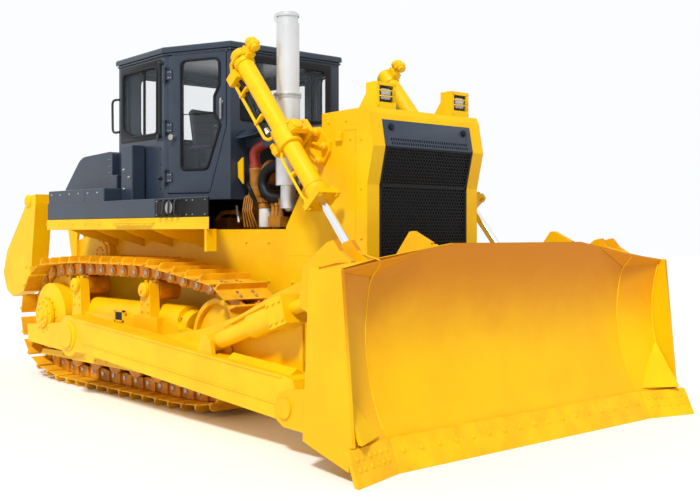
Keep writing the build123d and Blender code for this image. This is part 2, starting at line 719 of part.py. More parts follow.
def front_window(shrink):
    """Opening, or with a shrink the pane, in the cab's front above the hood."""
    deep = CAB_WALL + 60 if shrink == 0 else GLASS_THICK
    x1 = st(CAB_FRONT_ST) + 30 if shrink == 0 else st(CAB_FRONT_ST) - 20
    return box(x1 - deep, x1, -560 + shrink, 560 - shrink, 2760 + shrink, WINDOW_TOP - shrink)


def rear_window(shrink):
    """Opening or pane in the cab's rear wall above the tank."""
    deep = CAB_WALL + 60 if shrink == 0 else GLASS_THICK
    x0 = st(CAB_REAR_ST) - 30 if shrink == 0 else st(CAB_REAR_ST) + 20
    return box(x0, x0 + deep, -700 + shrink, 700 - shrink, 2640 + shrink, WINDOW_TOP - shrink)


def side_window(shrink):
    """Opening or pane in the right rear side panel."""
    rear = Vector(st(CAB_REAR_ST), -CAB_REAR_HALF, 0)
    wide = Vector(st(CAB_WIDE_ST), -CAB_WIDE_HALF, 0)
    along = (wide - rear).normalized()
    out = Vector(along.Y, -along.X, 0)
    width = (wide - rear).length
    low, high = 2620 + shrink, WINDOW_TOP - shrink
    start, end = 90 + shrink, width - 90 - shrink
    out0, out1 = (-CAB_WALL - 60, 60) if shrink == 0 else (-20 - GLASS_THICK, -20)
    spots = []
    for u, z in ((start, low), (end, low), (end, high), (start, high)):
        spot = rear + along * u + out * out0
        spots.append((spot.X, spot.Y, z))
    face = make_face(Polyline(*spots, close=True))
    return extrude(face, amount=out1 - out0, dir=out)


def cab_glass():
    """Fixed panes, each set in its opening."""
    gap = RUN_FIT
    return [front_window(gap), rear_window(gap), side_window(gap), mirrored(side_window(gap))]


def cab_roof():
    """Roof cap with rounded edge over the walls."""
    plan = cab_plan(-25)
    roof = slab_xy(plan, CAB_EAVE + RUN_FIT, CAB_EAVE + ROOF_THICK)
    top = roof.edges().group_by(Axis.Z)[-1]
    return fillet(top, 0.4 * ROOF_THICK)


def door():
    """Right-hand cab door with window, hinge knuckles and handle."""
    leaf = PANEL.prism(door_outline(0), -CAB_WALL, 0)
    leaf -= PANEL.prism(door_window(0), -CAB_WALL - 10, 10)
    for z in HINGE_HEIGHTS:
        leaf += PANEL.prism([(HINGE_U - 5, z - 50), (DOOR_REAR + 60, z - 50),
                             (DOOR_REAR + 60, z + 50), (HINGE_U - 5, z + 50)],
                            HINGE_OUT - 16, HINGE_OUT + 6)
        leaf += PANEL.prism([(DOOR_REAR + 4, z - 50), (DOOR_REAR + 60, z - 50),
                             (DOOR_REAR + 60, z + 50), (DOOR_REAR + 4, z + 50)],
                            -1, HINGE_OUT)
        foot, head = PANEL.point(HINGE_U, z - 50, HINGE_OUT), PANEL.point(HINGE_U, z + 50, HINGE_OUT)
        leaf += bar(tuple(foot), tuple(head), 16)
        leaf -= bar(tuple(foot), tuple(head), 8 + SHAFT_FIT)
    handle_u = DOOR_FRONT - 45
    leaf += PANEL.prism([(handle_u - 18, 2760), (handle_u + 18, 2760), (handle_u + 18, 2960),
                         (handle_u - 18, 2960)], -1, 26)
    return leaf


def door_hinges():
    """Hinge pins and their brackets on the cab's corner post."""
    pieces = []
    for z in HINGE_HEIGHTS:
        foot, head = PANEL.point(HINGE_U, z - 80, HINGE_OUT), PANEL.point(HINGE_U, z + 80, HINGE_OUT)
        pin = bar(tuple(foot), tuple(head), 8)
        for z0, z1 in ((z - 80, z - 52), (z + 52, z + 80)):
            lug = PANEL.prism([(HINGE_U - 16, z0), (HINGE_U + 16, z0), (HINGE_U + 16, z1),
                               (HINGE_U - 16, z1)], 0, HINGE_OUT + 14)
            pin += lug
        pieces.append(pin)
    return pieces


def door_glass():
    """Pane of the right-hand door."""
    return PANEL.prism(door_window(-RUN_FIT), -20 - GLASS_THICK, -20)


def seat():
    """Operator's seat: pedestal, cushion, back and arm rests."""
    floor = CAB_FLOOR + CAB_WALL
    x = st(4300)
    chair = box(x - 200, x + 180, -190, 190, floor, floor + 260)
    cushion = box(x - 230, x + 260, -250, 250, floor + 260, floor + 380)
    chair += fillet(cushion.edges(), 25)
    back = slab_xz([(x - 150, floor + 370), (x - 290, floor + 1000), (x - 390, floor + 990),
                    (x - 260, floor + 370)], -240, 240)
    chair += back
    for y0 in (-330, 250):
        chair += box(x - 220, x + 200, y0, y0 + 80, floor + 500, floor + 560)
        chair += box(x - 120, x - 60, y0, y0 + 80, floor + 300, floor + 501)
    return chair


def console():
    """Dash and control levers in front of the seat."""
    floor = CAB_FLOOR + CAB_WALL
    x = st(3640)
    dash = slab_xz([(x - 60, floor), (x - 80, floor + 700), (x + 120, floor + 760),
                    (x + 200, floor + 650), (x + 60, floor)], -330, 330)
    for y in (-430, 430):
        dash += box(x - 300, x - 140, y - 60, y + 60, floor, floor + 480)
        dash += bar((x - 220, y, floor + 470), (x - 200, y, floor + 700), 14)
        dash += Pos(x - 200, y, floor + 710) * Sphere(30)
        dash += box(x - 160, x - 20, min(y, 0), max(y, 0), floor, floor + 60)
    return dash


# Blade profile in side view, at the straight middle
def edge_front_x(z):
    """X of the cutting edge's front face at height z, at the middle."""
    return EDGE_X - 100.0 * z / EDGE_TOP


def skin_front():
    """Points where the mouldboard's front face starts, bulges and ends."""
    lean = math.atan2(100.0, EDGE_TOP)
    back = EDGE_THICK / math.cos(lean)
    low = (edge_front_x(90) - back, 90.0)
    seam = (edge_front_x(250) - back, 250.0)
    deep = (EDGE_X - 335.0, 830.0)
    top = (EDGE_X - 190.0, BLADE_TOP)
    return low, seam, deep, top


def profile_face(y, shift, back, extra=0.0):
    """Mouldboard section at y: front arc, and a back face parallel to it."""
    low, seam, deep, top = skin_front()
    points = [(x + shift + extra, z) for x, z in (low, seam, deep, top)]
    rear = [(x - back, z) for x, z in points]
    edges = [
        Line((points[0][0], y, points[0][1]), (points[1][0], y, points[1][1])),
        ThreePointArc(*[(x, y, z) for x, z in points[1:]]),
        Line((points[3][0], y, points[3][1]), (rear[3][0], y, rear[3][1])),
        ThreePointArc(*[(x, y, z) for x, z in reversed(rear[1:])]),
        Line((rear[1][0], y, rear[1][1]), (rear[0][0], y, rear[0][1])),
        Line((rear[0][0], y, rear[0][1]), (points[0][0], y, points[0][1])),
    ]
    return make_face(edges)


def bend(face_at, outer):
    """Straight middle and both forward-bent wings of one section."""
    tangent = math.tan(math.radians(WING_ANGLE))
    shape = extrude(face_at(-WING_ST_Y), amount=2 * WING_ST_Y, dir=(0, 1, 0))
    run = outer - WING_ST_Y
    slope = Vector(tangent, -1, 0)
    wing = extrude(face_at(-WING_ST_Y), amount=run * slope.length, dir=slope)
    return shape + wing + mirrored(wing)


def beam_section(y, z0, z1, depth):
    """Section at y of a box beam on the mouldboard's back."""
    front, back = EDGE_X - 180.0, EDGE_X - depth
    return make_face(Polyline((back, y, z0 + 40), (back, y, z1 - 40), (back + 60, y, z1),
                              (front, y, z1), (front, y, z0), (back + 60, y, z0), close=True))


def top_height(y):
    """Height of the blade's top edge, which drops towards both ends."""
    drop = (BLADE_TOP - BLADE_CORNER_TOP) / (BLADE_HALF - TOP_FLAT_HALF)
    return BLADE_TOP - drop * max(abs(y) - TOP_FLAT_HALF, 0.0)


def top_front(y):
    """Point of the mouldboard's front face near its top edge."""
    bent = max(abs(y) - WING_ST_Y, 0.0) * math.tan(math.radians(WING_ANGLE))
    z = top_height(y) - 6
    return Vector(EDGE_X - 190 - 0.33 * (BLADE_TOP - z) + bent - 8, y, z)


def bend_gusset(side):
    """Thin triangular plate across one wing's bend, just under the top edge."""
    near, far = top_front(side * (WING_ST_Y - 420)), top_front(side * (BLADE_HALF - 20))
    low = top_front(side * WING_ST_Y) - Vector(42, 0, 110)
    face = make_face(Polyline(near, far, low, close=True))
    return extrude(face, amount=12, dir=(0, 0, -1))


def blade():
    """Mouldboard with box beams behind it, lugs, brackets and end plates."""
    skin = bend(lambda y: profile_face(y, 0.0, SKIN), BLADE_HALF)
    front_space = bend(lambda y: profile_face(y, 0.0, -900.0, -SKIN + 1), EDGE_TIP_HALF + 200)
    back = bend(lambda y: beam_section(y, 170, 600, 560.0), BLADE_HALF)
    back += bend(lambda y: beam_section(y, 1180, 1440, 470.0), BLADE_HALF)
    for plate in blade_ears() + lift_lugs() + arm_lugs():
        back += plate
    shape = skin + (back - front_space)
    for side in (-1, 1):
        shape += bend_gusset(side)
    for y in (-BLADE_HALF, BLADE_HALF - END_PLATE):
        shape += slab_xz(end_outline(), y, y + END_PLATE)
    return shape - above_top(-1) - above_top(1)


def blade_ears():
    """Two plates that stand above the top edge behind the mouldboard."""
    ear = [(st(720), 1460), (st(560), 1655), (st(520), 1660), (st(215), 1520), (st(215), 1400),
           (st(460), 1400), (st(460), 1250), (st(700), 1200)]
    return [slab_xz(ear, min(y, y * 1.046), max(y, y * 1.046)) for y in (-EAR_Y, EAR_Y)]


def lift_lugs():
    """Forks on the blade's back that hold the lift rods' eyes."""
    lugs = []
    for side in (-1, 1):
        for offset in (-1, 1):
            y = side * LIFT_Y + offset * (LUG_GAP / 2 + 20)
            lug = [(st(300), 1190), (st(300), 590), (st(560), 590), (st(LIFT_EYE_ST) - 60, 900),
                   (st(LIFT_EYE_ST) - 75, LIFT_EYE_Z + 40),
                   (st(LIFT_EYE_ST) - 20, LIFT_EYE_Z + 85), (st(560), 1190)]
            lugs.append(slab_xz(lug, y - 20, y + 20))
            near, far = sorted((y + offset * 19, y + offset * 45))
            lugs.append(cross_pin(st(LIFT_EYE_ST), LIFT_EYE_Z, 42, near, far))
    return lugs


def arm_lugs():
    """Forks on the blade's back around the push arms' front ends."""
    lugs = []
    for side in (-1, 1):
        for offset in (-1, 1):
            y = side * BRACE_Y + offset * (ARM_WIDTH / 2 + RUN_FIT + 20)
            lug = [(st(300), 560), (st(300), 180), (st(ARM_PIN_ST) - 40, 209),
                   (st(ARM_PIN_ST) - 130, 262), (st(ARM_PIN_ST) - 145, ARM_PIN_Z),
                   (st(ARM_PIN_ST) - 100, 452), (st(ARM_PIN_ST) + 60, 500)]
            lugs.append(slab_xz(lug, y - 20, y + 20))
            near, far = sorted((y + offset * 19, y + offset * 36))
            lugs.append(cross_pin(st(ARM_PIN_ST + 18), ARM_PIN_Z, 78, near, far))
    return lugs


def end_outline():
    """Side outline of the blade's end plates."""
    shift = (BLADE_HALF - WING_ST_Y) * math.tan(math.radians(WING_ANGLE))
    return [(EDGE_X - 250 + shift + 22, BLADE_CORNER_TOP + 8), (EDGE_X - 434, 1419),
            (EDGE_X - 505, 208), (EDGE_X - 350, 160), (EDGE_X - 90 + shift / 2, 70),
            (EDGE_X - 152 + shift, EDGE_TOP + 5), (EDGE_X - 116 + shift, EDGE_TOP + 5)]


def above_top(side):
    """Space above one end's sloping top edge."""
    reach = EDGE_TIP_HALF + 60
    ridge = BLADE_TOP + 200
    wedge = [(side * TOP_FLAT_HALF, BLADE_TOP), (side * reach, top_height(reach)),
             (side * reach, ridge), (side * (TOP_FLAT_HALF + 150), ridge)]
    return slab_yz(wedge, st(330), st(-400))


def edge_section(y):
    """Section at y of the cutting edge and the end bits."""
    head = edge_front_x(EDGE_TOP)
    back = EDGE_THICK / math.cos(math.atan2(100.0, EDGE_TOP))
    return make_face(Polyline((EDGE_X, y, 0.0), (head, y, EDGE_TOP), (head - back, y, EDGE_TOP),
                              (EDGE_X - back, y, 0.0), close=True))


def cutting_edge():
    """Bolted centre edge and two end bits that flare past the end plates."""
    middle = extrude(edge_section(-WING_ST_Y + 2), amount=2 * WING_ST_Y - 4, dir=(0, 1, 0))
    slope = Vector(math.tan(math.radians(WING_ANGLE)), -1, 0)
    run = EDGE_TIP_HALF - WING_ST_Y
    bit = extrude(edge_section(-WING_ST_Y), amount=run * slope.length, dir=slope)
    return [middle], [bit, mirrored(bit)]


def push_arm():
    """Right-hand push arm: tapered box with a round rear end, ridge and guard plate."""
    y0, y1 = -ARM_OUTER, -ARM_OUTER + ARM_WIDTH
    rear, z = st(TRUNNION_ST), TRUNNION_Z
    outline = [(rear, z - 150), (rear, z + 190), (rear + 260, z + 175), (st(1020), 580),
               (st(ARM_PIN_ST) + 20, 560), (st(ARM_PIN_ST) + 75, 440),
               (st(ARM_PIN_ST) + 75, 280), (st(1020), 240), (rear + 330, z - 150)]
    arm = slab_xz(outline, y0, y1) + cross_pin(rear, z, ARM_BOSS_R, y0, y1)
    arm += slab_xz([(st(2700), 640), (st(1102), 500), (st(1102), 1275), (st(1418), 1176),
                    (st(1932), 963), (st(2422), 824), (st(3341), 672)], y1 - 1, y1 + 22)
    middle = (y0 + y1) / 2
    ridge = make_face(Polyline((st(1842), middle - 100, 612), (st(1842), middle, 676),
                               (st(1842), middle + 100, 612), close=True))
    run = Vector(823, 0, -52)
    arm += extrude(ridge, amount=run.length, dir=run)
    arm -= cross_pin(rear, z, TRUNNION_R + SHAFT_FIT, y0 - 1, y1 + 1)
    return arm


def trunnion():
    """Ball pivot on the track frame that carries the push arm, with its cap."""
    inner = -GAUGE / 2 - FRAME_HALF - RUN_FIT
    x, z = st(TRUNNION_ST), TRUNNION_Z
    pin = cross_pin(x, z, TRUNNION_R, -ARM_OUTER - 34, inner)
    pin += cross_pin(x, z, TRUNNION_R + 55, -ARM_OUTER + ARM_WIDTH + 6, inner)
    pin += cross_pin(x, z, TRUNNION_R + 45, -ARM_OUTER - 34, -ARM_OUTER - 6)
    return pin


def brace(kind):
    """Right tilt cylinder or left screw strut, from the arm's top to the blade."""
    rear = Vector(st(BRACE_REAR[0]), -BRACE_Y, BRACE_REAR[1])
    front = Vector(st(BRACE_FRONT[0]), -BRACE_Y, BRACE_FRONT[1])
    reach = (front - rear).length
    unit = (front - rear).normalized()

    def tube(start, end, radius):
        return bar(tuple(rear + unit * start), tuple(rear + unit * end), radius)

    if kind == "cylinder":
        shape = tube(40, 120, 56) + tube(105, 570, 72) + tube(559, 900, 98)
        shape += tube(1100, reach - 50, 52)
        flange = Plane(origin=rear, x_dir=unit, z_dir=unit.cross(Vector(0, 1, 0)))
        shape += flange * box(899, 1101, -112, 112, -112, 112)
    else:
        shape = tube(40, 0.55 * reach, 62) + tube(0.54 * reach, 0.62 * reach, 80)
        shape += tube(0.61 * reach, reach - 50, 45)
    for end in (rear, front):
        shape += cross_pin(end.X, end.Z, BRACE_EYE_R, -BRACE_Y - BRACE_EYE, -BRACE_Y + BRACE_EYE)
    return shape


def brace_mounts():
    """Brackets for the brace: on the right-hand arm, and on the blade's back."""
    arm_bracket = []
    blade_bracket = []
    for side in (-1, 1):
        y0 = -BRACE_Y + side * (BRACE_EYE + RUN_FIT + 20)
        foot = [(st(2250), 600), (st(1990), 590), (st(2030), 760), (st(2080), 812),
                (st(2150), 800)]
        arm_bracket.append(slab_xz(foot, y0 - 20, y0 + 20))
        head = [(st(300), 1050), (st(300), 1450), (st(420), 1520), (st(490), 1595),
                (st(560), 1580), (st(835), 1400), (st(870), 1160), (st(840), 1090),
                (st(760), 1060)]
        blade_bracket.append(slab_xz(head, y0 - 20, y0 + 20))
    return arm_bracket, blade_bracket


# Lift cylinder geometry, on the line from the yoke to the blade's pin
YOKE = (st(YOKE_ST), YOKE_Z)
EYE = (st(LIFT_EYE_ST), LIFT_EYE_Z)
LIFT_REACH = math.dist(YOKE, EYE)
LIFT_DIR = ((EYE[0] - YOKE[0]) / LIFT_REACH, (EYE[1] - YOKE[1]) / LIFT_REACH)


def lift_spot(distance, y=-LIFT_Y):
    """Point on the right-hand cylinder's axis, measured from the yoke."""
    return (YOKE[0] + LIFT_DIR[0] * distance, y, YOKE[1] + LIFT_DIR[1] * distance)


def lift_barrel():
    """Barrel with gland flange and cap, and the turning fork that carries it."""
    y = -LIFT_Y
    barrel = bar(lift_spot(-LIFT_TOP_REACH), lift_spot(LIFT_HEAD_REACH), LIFT_TUBE_R)
    barrel += yoke_box(LIFT_HEAD_REACH - 55, LIFT_HEAD_REACH, y - 118, y + 118, -118, 118)
    barrel += bar(lift_spot(LIFT_HEAD_REACH - 150), lift_spot(LIFT_HEAD_REACH - 54),
                  LIFT_TUBE_R + 16)
    barrel += bar(lift_spot(-LIFT_TOP_REACH - 40), lift_spot(-LIFT_TOP_REACH + 60),
                  LIFT_TUBE_R + 10)
    barrel += yoke_box(-LIFT_TOP_REACH - 20, -LIFT_TOP_REACH + 90, y - 45, y + 45, 40, 138)
    barrel += bar(lift_spot(-80), lift_spot(80), LIFT_TUBE_R + 26)
    near, far = LIFT_TUBE_R + 45, LIFT_TUBE_R + 95
    for side in (-1, 1):
        up0, up1 = sorted((side * near, side * far))
        barrel += yoke_box(-60, 60, y - 55, y + 140, up0, up1)
        barrel += upright_pin(side * (LIFT_TUBE_R + 10), side * far, 50)
    barrel += yoke_box(-75, 75, y + 120, y + 160, -far, far)
    barrel += cross_pin(*YOKE, 60, y + 150, -NOSE_HALF - RUN_FIT - 11)
    barrel -= bar(lift_spot(-LIFT_TOP_REACH + 60), lift_spot(LIFT_HEAD_REACH - 60), LIFT_BORE_R)
    barrel -= bar(lift_spot(LIFT_HEAD_REACH - 61), lift_spot(LIFT_HEAD_REACH + 1),
                  LIFT_ROD_R + SHAFT_FIT)
    return barrel


def upright_pin(up0, up1, radius):
    """Round boss square to the resting barrel, between two heights above its axis."""
    spots = [(YOKE[0] - LIFT_DIR[1] * up, -LIFT_Y, YOKE[1] + LIFT_DIR[0] * up)
             for up in (up0, up1)]
    return bar(*spots, radius)


def lift_rod():
    """Chrome rod with its piston and the eye in the blade's fork."""
    rod = bar(lift_spot(LIFT_HEAD_REACH - 480), lift_spot(LIFT_REACH - 60), LIFT_ROD_R)
    rod += bar(lift_spot(LIFT_HEAD_REACH - 560), lift_spot(LIFT_HEAD_REACH - 479),
               LIFT_BORE_R - SHAFT_FIT)
    rod += cross_pin(*EYE, 80, -LIFT_Y - 52, -LIFT_Y + 52)
    return rod


def yoke_box(along0, along1, y0, y1, up0, up1):
    """Box square to the resting cylinder: along it, across, and above its axis."""
    place = Plane(origin=(YOKE[0], 0, YOKE[1]), x_dir=(LIFT_DIR[0], 0, LIFT_DIR[1]),
                  z_dir=(-LIFT_DIR[1], 0, LIFT_DIR[0]))
    return place * box(along0, along1, y0, y1, up0, up1)


def lift_yoke():
    """Bearing on the nose's cheek that the turning fork's shaft sits in."""
    x, z = YOKE
    inner = -NOSE_HALF - RUN_FIT
    mount = cross_pin(x, z, 105, inner - 72, inner)
    foot = [(st(2140), 2420), (st(2130), 2520), (st(2060), 2580), (st(1850), 2572),
            (st(1710), 2430), (st(1710), 2350), (st(1810), 2228), (st(1860), 2240)]
    mount += slab_xz(foot, inner - 28, inner)
    for distance, height in YOKE_BOLTS:
        mount += cross_pin(st(distance), height, 36, inner - 66, inner)
        dx, dz = st(distance) - x, height - z
        length = math.hypot(dx, dz)
        side = (-dz / length * 12, dx / length * 12)
        rib = [(x + side[0], z + side[1]), (x + dx + side[0], z + dz + side[1]),
               (x + dx - side[0], z + dz - side[1]), (x - side[0], z - side[1])]
        mount += slab_xz(rib, inner - 58, inner)
    mount -= cross_pin(x, z, 60 + SHAFT_FIT, inner - 73, inner - 8)
    return mount


# Ripper geometry
LOW_MOUNT = (st(RIP_MOUNT_ST), RIP_LOW_Z)
UP_MOUNT = (st(RIP_MOUNT_ST), RIP_LOW_Z + RIP_PIN_SPREAD)
LOW_BEAM = (LOW_MOUNT[0] - RIP_LINK_RUN, LOW_MOUNT[1] + RIP_LINK_RISE)
UP_BEAM = (UP_MOUNT[0] - RIP_LINK_RUN, UP_MOUNT[1] + RIP_LINK_RISE)
RIP_CYL = (LOW_MOUNT[0] + 20, LOW_MOUNT[1] + RIP_CYL_RISE)
RIP_EYE = (LOW_MOUNT[0] - 500, LOW_MOUNT[1] + 190)
RIP_CYL_REACH = math.dist(RIP_CYL, RIP_EYE)
RIP_CYL_DIR = ((RIP_EYE[0] - RIP_CYL[0]) / RIP_CYL_REACH,
               (RIP_EYE[1] - RIP_CYL[1]) / RIP_CYL_REACH)


def ripper_mount():
    """Bracket plates bolted to the gear case's rear, with the fixed pins."""
    face = st(6330) - RUN_FIT
    nose = LOW_MOUNT[0] - 90
    outer = RIP_LINK_Y + RIP_LINK_WIDTH / 2 + 40
    shape = box(face - 60, face, -outer, outer, 760, 1560)
    plate = [(face, 760), (face, 1560), (st(6200), 2060), (st(6215), 2190), (st(6535), 2185),
             (nose, 2060), (nose, 1840), (face - 100, 1250), (nose, 1110), (nose, 930)]
    for side in (-1, 1):
        for y in (outer - 15, RIP_LINK_Y - RIP_LINK_WIDTH / 2 - 25):
            shape += slab_xz(plate, side * y - 15, side * y + 15)
        for y in (RIP_CYL_Y - 75, RIP_CYL_Y + 75):
            lug = [(face - 50, RIP_CYL[1] - 150), (face - 50, RIP_CYL[1] + 90),
                   (RIP_CYL[0] - 55, RIP_CYL[1] + 50), (RIP_CYL[0] - 55, RIP_CYL[1] - 50)]
            shape += slab_xz(lug, side * y - 15, side * y + 15)
    shape += box(face - 60, face, -300 - 120, 300 + 120, 1559, RIP_CYL[1] + 90)
    for y0, y1 in ((-outer - 20, -RIP_LINK_Y + 110), (RIP_LINK_Y - 110, outer + 20)):
        shape += cross_pin(*LOW_MOUNT, RIP_PIN_R, y0, y1)
        shape += cross_pin(*UP_MOUNT, RIP_PIN_R, y0, y1)
    shape += cross_pin(*RIP_CYL, 35, -RIP_CYL_Y - 100, RIP_CYL_Y + 100)
    return shape


def link(start, end, y, width, radius):
    """Flat link between two cross pins, centred at y."""
    dx, dz = end[0] - start[0], end[1] - start[1]
    length = math.hypot(dx, dz)
    nx, nz = -dz / length, dx / length
    half = radius * 0.72
    shape = cross_pin(*start, radius, y - width / 2, y + width / 2)
    shape += cross_pin(*end, radius, y - width / 2, y + width / 2)
    shape += slab_xz([(start[0] + nx * half, start[1] + nz * half),
                      (end[0] + nx * half, end[1] + nz * half),
                      (end[0] - nx * half, end[1] - nz * half),
                      (start[0] - nx * half, start[1] - nz * half)], y - width / 2, y + width / 2)
    for pin in (start, end):
        shape -= cross_pin(*pin, RIP_PIN_R + SHAFT_FIT, y - width / 2 - 1, y + width / 2 + 1)
    return shape


def ripper_arm():
    """Lower arm: two links joined by a cross box that carries the cylinder lugs."""
    shape = None
    for y in (-RIP_LINK_Y, RIP_LINK_Y):
        piece = link(LOW_MOUNT, LOW_BEAM, y, RIP_LINK_WIDTH, 105)
        shape = piece if shape is None else shape + piece
    reach = RIP_LINK_Y - RIP_LINK_WIDTH / 2 + 1
    x = RIP_EYE[0] + 60
    z = LOW_MOUNT[1] + RIP_LINK_RISE * 0.69
    shape += box(x - 90, x + 90, -reach, reach, z - 60, z + 60)
    for side in (-1, 1):
        for y in (RIP_CYL_Y - 62, RIP_CYL_Y + 62):
            lug = [(x - 88, z + 50), (x + 70, z + 50), (RIP_EYE[0] + 50, RIP_EYE[1] + 40),
                   (RIP_EYE[0] - 40, RIP_EYE[1] + 40)]
            shape += slab_xz(lug, side * y - 12, side * y + 12)
    return shape


def ripper_top_link():
    """Upper links between the mount and the beam."""
    shape = None
    for y in (-RIP_LINK_Y, RIP_LINK_Y):
        piece = link(UP_MOUNT, UP_BEAM, y, RIP_LINK_WIDTH, 95)
        shape = piece if shape is None else shape + piece
    x = (UP_MOUNT[0] + UP_BEAM[0]) / 2
    z = (UP_MOUNT[1] + UP_BEAM[1]) / 2
    reach = RIP_LINK_Y - RIP_LINK_WIDTH / 2 + 1
    shape += box(x - 60, x + 60, -reach, reach, z - 40, z + 40)
    return shape


def ripper_beam():
    """Swing frame: two boomerang side plates on a cross box with a shank pocket."""
    x, z = LOW_BEAM
    top_x, top_z = UP_BEAM
    inner = RIP_SIDE_Y - RIP_SIDE_THICK / 2
    shape = box(x - 380, x - 130, -inner - 1, inner + 1, z - 200, z + 200)
    back = RIP_BEAM_BACK
    outline = [(top_x + 198, top_z + 81), (top_x - 2, top_z + 62), (top_x - 141, top_z - 116),
               (x - 634, z + 304), (x - back, z + 27), (x - 634, z - 198), (x - 455, z - 273),
               (x - 200, z - 210), (x + 70, z - 110), (x + 97, z + 256),
               (top_x + 198, top_z - 34)]
    for y in (-RIP_SIDE_Y, RIP_SIDE_Y):
        shape += slab_xz(outline, y - RIP_SIDE_THICK / 2, y + RIP_SIDE_THICK / 2)
    shape += cross_pin(top_x, top_z, RIP_PIN_R, -inner - 1, inner + 1)
    lug_y = RIP_LINK_Y - RIP_LINK_WIDTH / 2 - 25
    for side in (-1, 1):
        lug = [(x - 131, z - 90), (x - 131, z + 90), (x + 40, z + 70), (x + 70, z),
               (x + 40, z - 70)]
        shape += slab_xz(lug, side * lug_y - 15, side * lug_y + 15)
        y0, y1 = sorted((side * (lug_y - 25), side * (inner + 1)))
        shape += cross_pin(x, z, RIP_PIN_R, y0, y1)
    shape -= box(x - 311, x - 189, -62, 62, z - 210, z + 210)
    return shape


def ripper_spot(distance, y):
    """Point on a ripper cylinder's axis, measured from its barrel pin."""
    return (RIP_CYL[0] + RIP_CYL_DIR[0] * distance, y, RIP_CYL[1] + RIP_CYL_DIR[1] * distance)


def ripper_barrels():
    """Two barrels that turn on the mount's upper pin."""
    barrels = []
    for y in (-RIP_CYL_Y, RIP_CYL_Y):
        barrel = bar(ripper_spot(105, y), ripper_spot(RIP_HEAD, y), RIP_TUBE_R)
        barrel += bar(ripper_spot(RIP_HEAD - 60, y), ripper_spot(RIP_HEAD, y), RIP_TUBE_R + 12)
        barrel += cross_pin(*RIP_CYL, 62, y - 55, y + 55)
        barrel += bar(ripper_spot(30, y), ripper_spot(106, y), 50)
        barrel -= bar(ripper_spot(122, y), ripper_spot(RIP_HEAD - 40, y), RIP_BORE_R)
        barrel -= bar(ripper_spot(RIP_HEAD - 41, y), ripper_spot(RIP_HEAD + 1, y),
                      RIP_ROD_R + SHAFT_FIT)
        barrel -= cross_pin(*RIP_CYL, 35 + SHAFT_FIT, y - 60, y + 60)
        barrels.append(barrel)
    return barrels


def ripper_rods():
    """Rods of the two ripper cylinders, each with its eye in the arm's fork."""
    rods = []
    for y in (-RIP_CYL_Y, RIP_CYL_Y):
        rod = bar(ripper_spot(RIP_PISTON, y), ripper_spot(RIP_CYL_REACH - 40, y), RIP_ROD_R)
        rod += bar(ripper_spot(RIP_PISTON - 30, y), ripper_spot(RIP_PISTON + 1, y),
                   RIP_BORE_R - SHAFT_FIT)
        rod += cross_pin(*RIP_EYE, 55, y - 42, y + 42)
        rods.append(rod)
    return rods


def ripper_shank():
    """Single shank held in the beam's pocket, with its point."""
    x, z = LOW_BEAM
    outline = [(x - 310, z + 420), (x - 190, z + 420), (x - 190, z - 520), (x - 110, z - 760),
               (x - 10, z - 850), (x - 160, z - 840), (x - 270, z - 680), (x - 310, z - 480)]
    shank = slab_xz(outline, -62 + RUN_FIT, 62 - RUN_FIT)
    shank -= cross_pin(x - 250, z + SHANK_HOLE_UP, SHANK_HOLE_R, -70, 70)
    return shank


def both(shapes):
    """Pieces of the right side with their mirror images."""
    return list(shapes) + [mirrored(shape) for shape in shapes]


def joined(shapes):
    """One piece welded from several."""
    whole = shapes[0]
    for shape in shapes[1:]:
        whole += shape
    return whole


def make_all():
    """Build and write every piece."""
    os.makedirs("parts", exist_ok=True)
    save_pair("track", track())
    save("drive_sprockets", *both([sprocket()]))
    save("idlers", *both([idler()]))
    save("track_frames", *both([track_frame()]))
    save("track_rollers", *both(track_rollers()))
    save("carrier_rollers", *both(carrier_rollers()))
    save("equalizer_bar", equalizer_bar())
    save("main_frame", main_frame())
    save("engine", engine())
    save("radiator_guard", radiator_guard())
    save("radiator_grille", grille())
    save("engine_hood", hood())
    save("head_lamps", *lamps())
    save("exhaust_stack", stack())
    save("decks", *both([fender()]))
    save("side_boxes", *both([side_box()]))
    save("rear_tank", rear_tank())
    save("cab_shell", joined([cab_shell()] + both(door_hinges())))
    save("cab_roof", cab_roof())
    save("cab_glass", *cab_glass())
    save_pair("cab_door", door())
    save_pair("door_glass", door_glass())
    save("operator_seat", seat())
    save("control_console", console())
    arm_bracket, blade_bracket = brace_mounts()
    front_space = bend(lambda y: profile_face(y, 0.0, -900.0, -SKIN + 1), EDGE_TIP_HALF + 200)
    brackets = [bracket - front_space for bracket in blade_bracket]
    save("blade", joined([blade()] + both(brackets)))
    middle, bits = cutting_edge()
    save("cutting_edge", *middle)
    save("end_bits", *bits)
    save("push_arms", *both([joined([push_arm()] + arm_bracket)]))
    save("arm_trunnions", *both([trunnion()]))
    save("tilt_cylinder", brace("cylinder"))
    save("tilt_brace", mirrored(brace("strut")))
    save_pair("lift_barrel", lift_barrel())
    save_pair("lift_rod", lift_rod())
    save("lift_yokes", *both([lift_yoke()]))
    save("ripper_mount", ripper_mount())
    save("ripper_arm", ripper_arm())
    save("ripper_top_links", ripper_top_link())
    save("ripper_beam", ripper_beam())
    save("ripper_shank", ripper_shank())
    save("ripper_barrels", *ripper_barrels())
    save("ripper_rods", *ripper_rods())
    print("chain pitch", CHAIN_LENGTH / SHOE_COUNT)


make_all()
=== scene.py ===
# %% [markdown]
# # A large crawler bulldozer
#
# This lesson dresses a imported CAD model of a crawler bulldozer. The CAD part
# gives the true shapes and the joints. Here every surface gets a material, and
# the small things that the CAD part leaves out are built as meshes.
#
# Everything is in metres: +X runs forward, +Y to the machine's left, +Z up.

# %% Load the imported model
import json
import math

import bmesh
import bpy
import numpy as np
from mathutils import Matrix, Vector
from mathutils.bvhtree import BVHTree


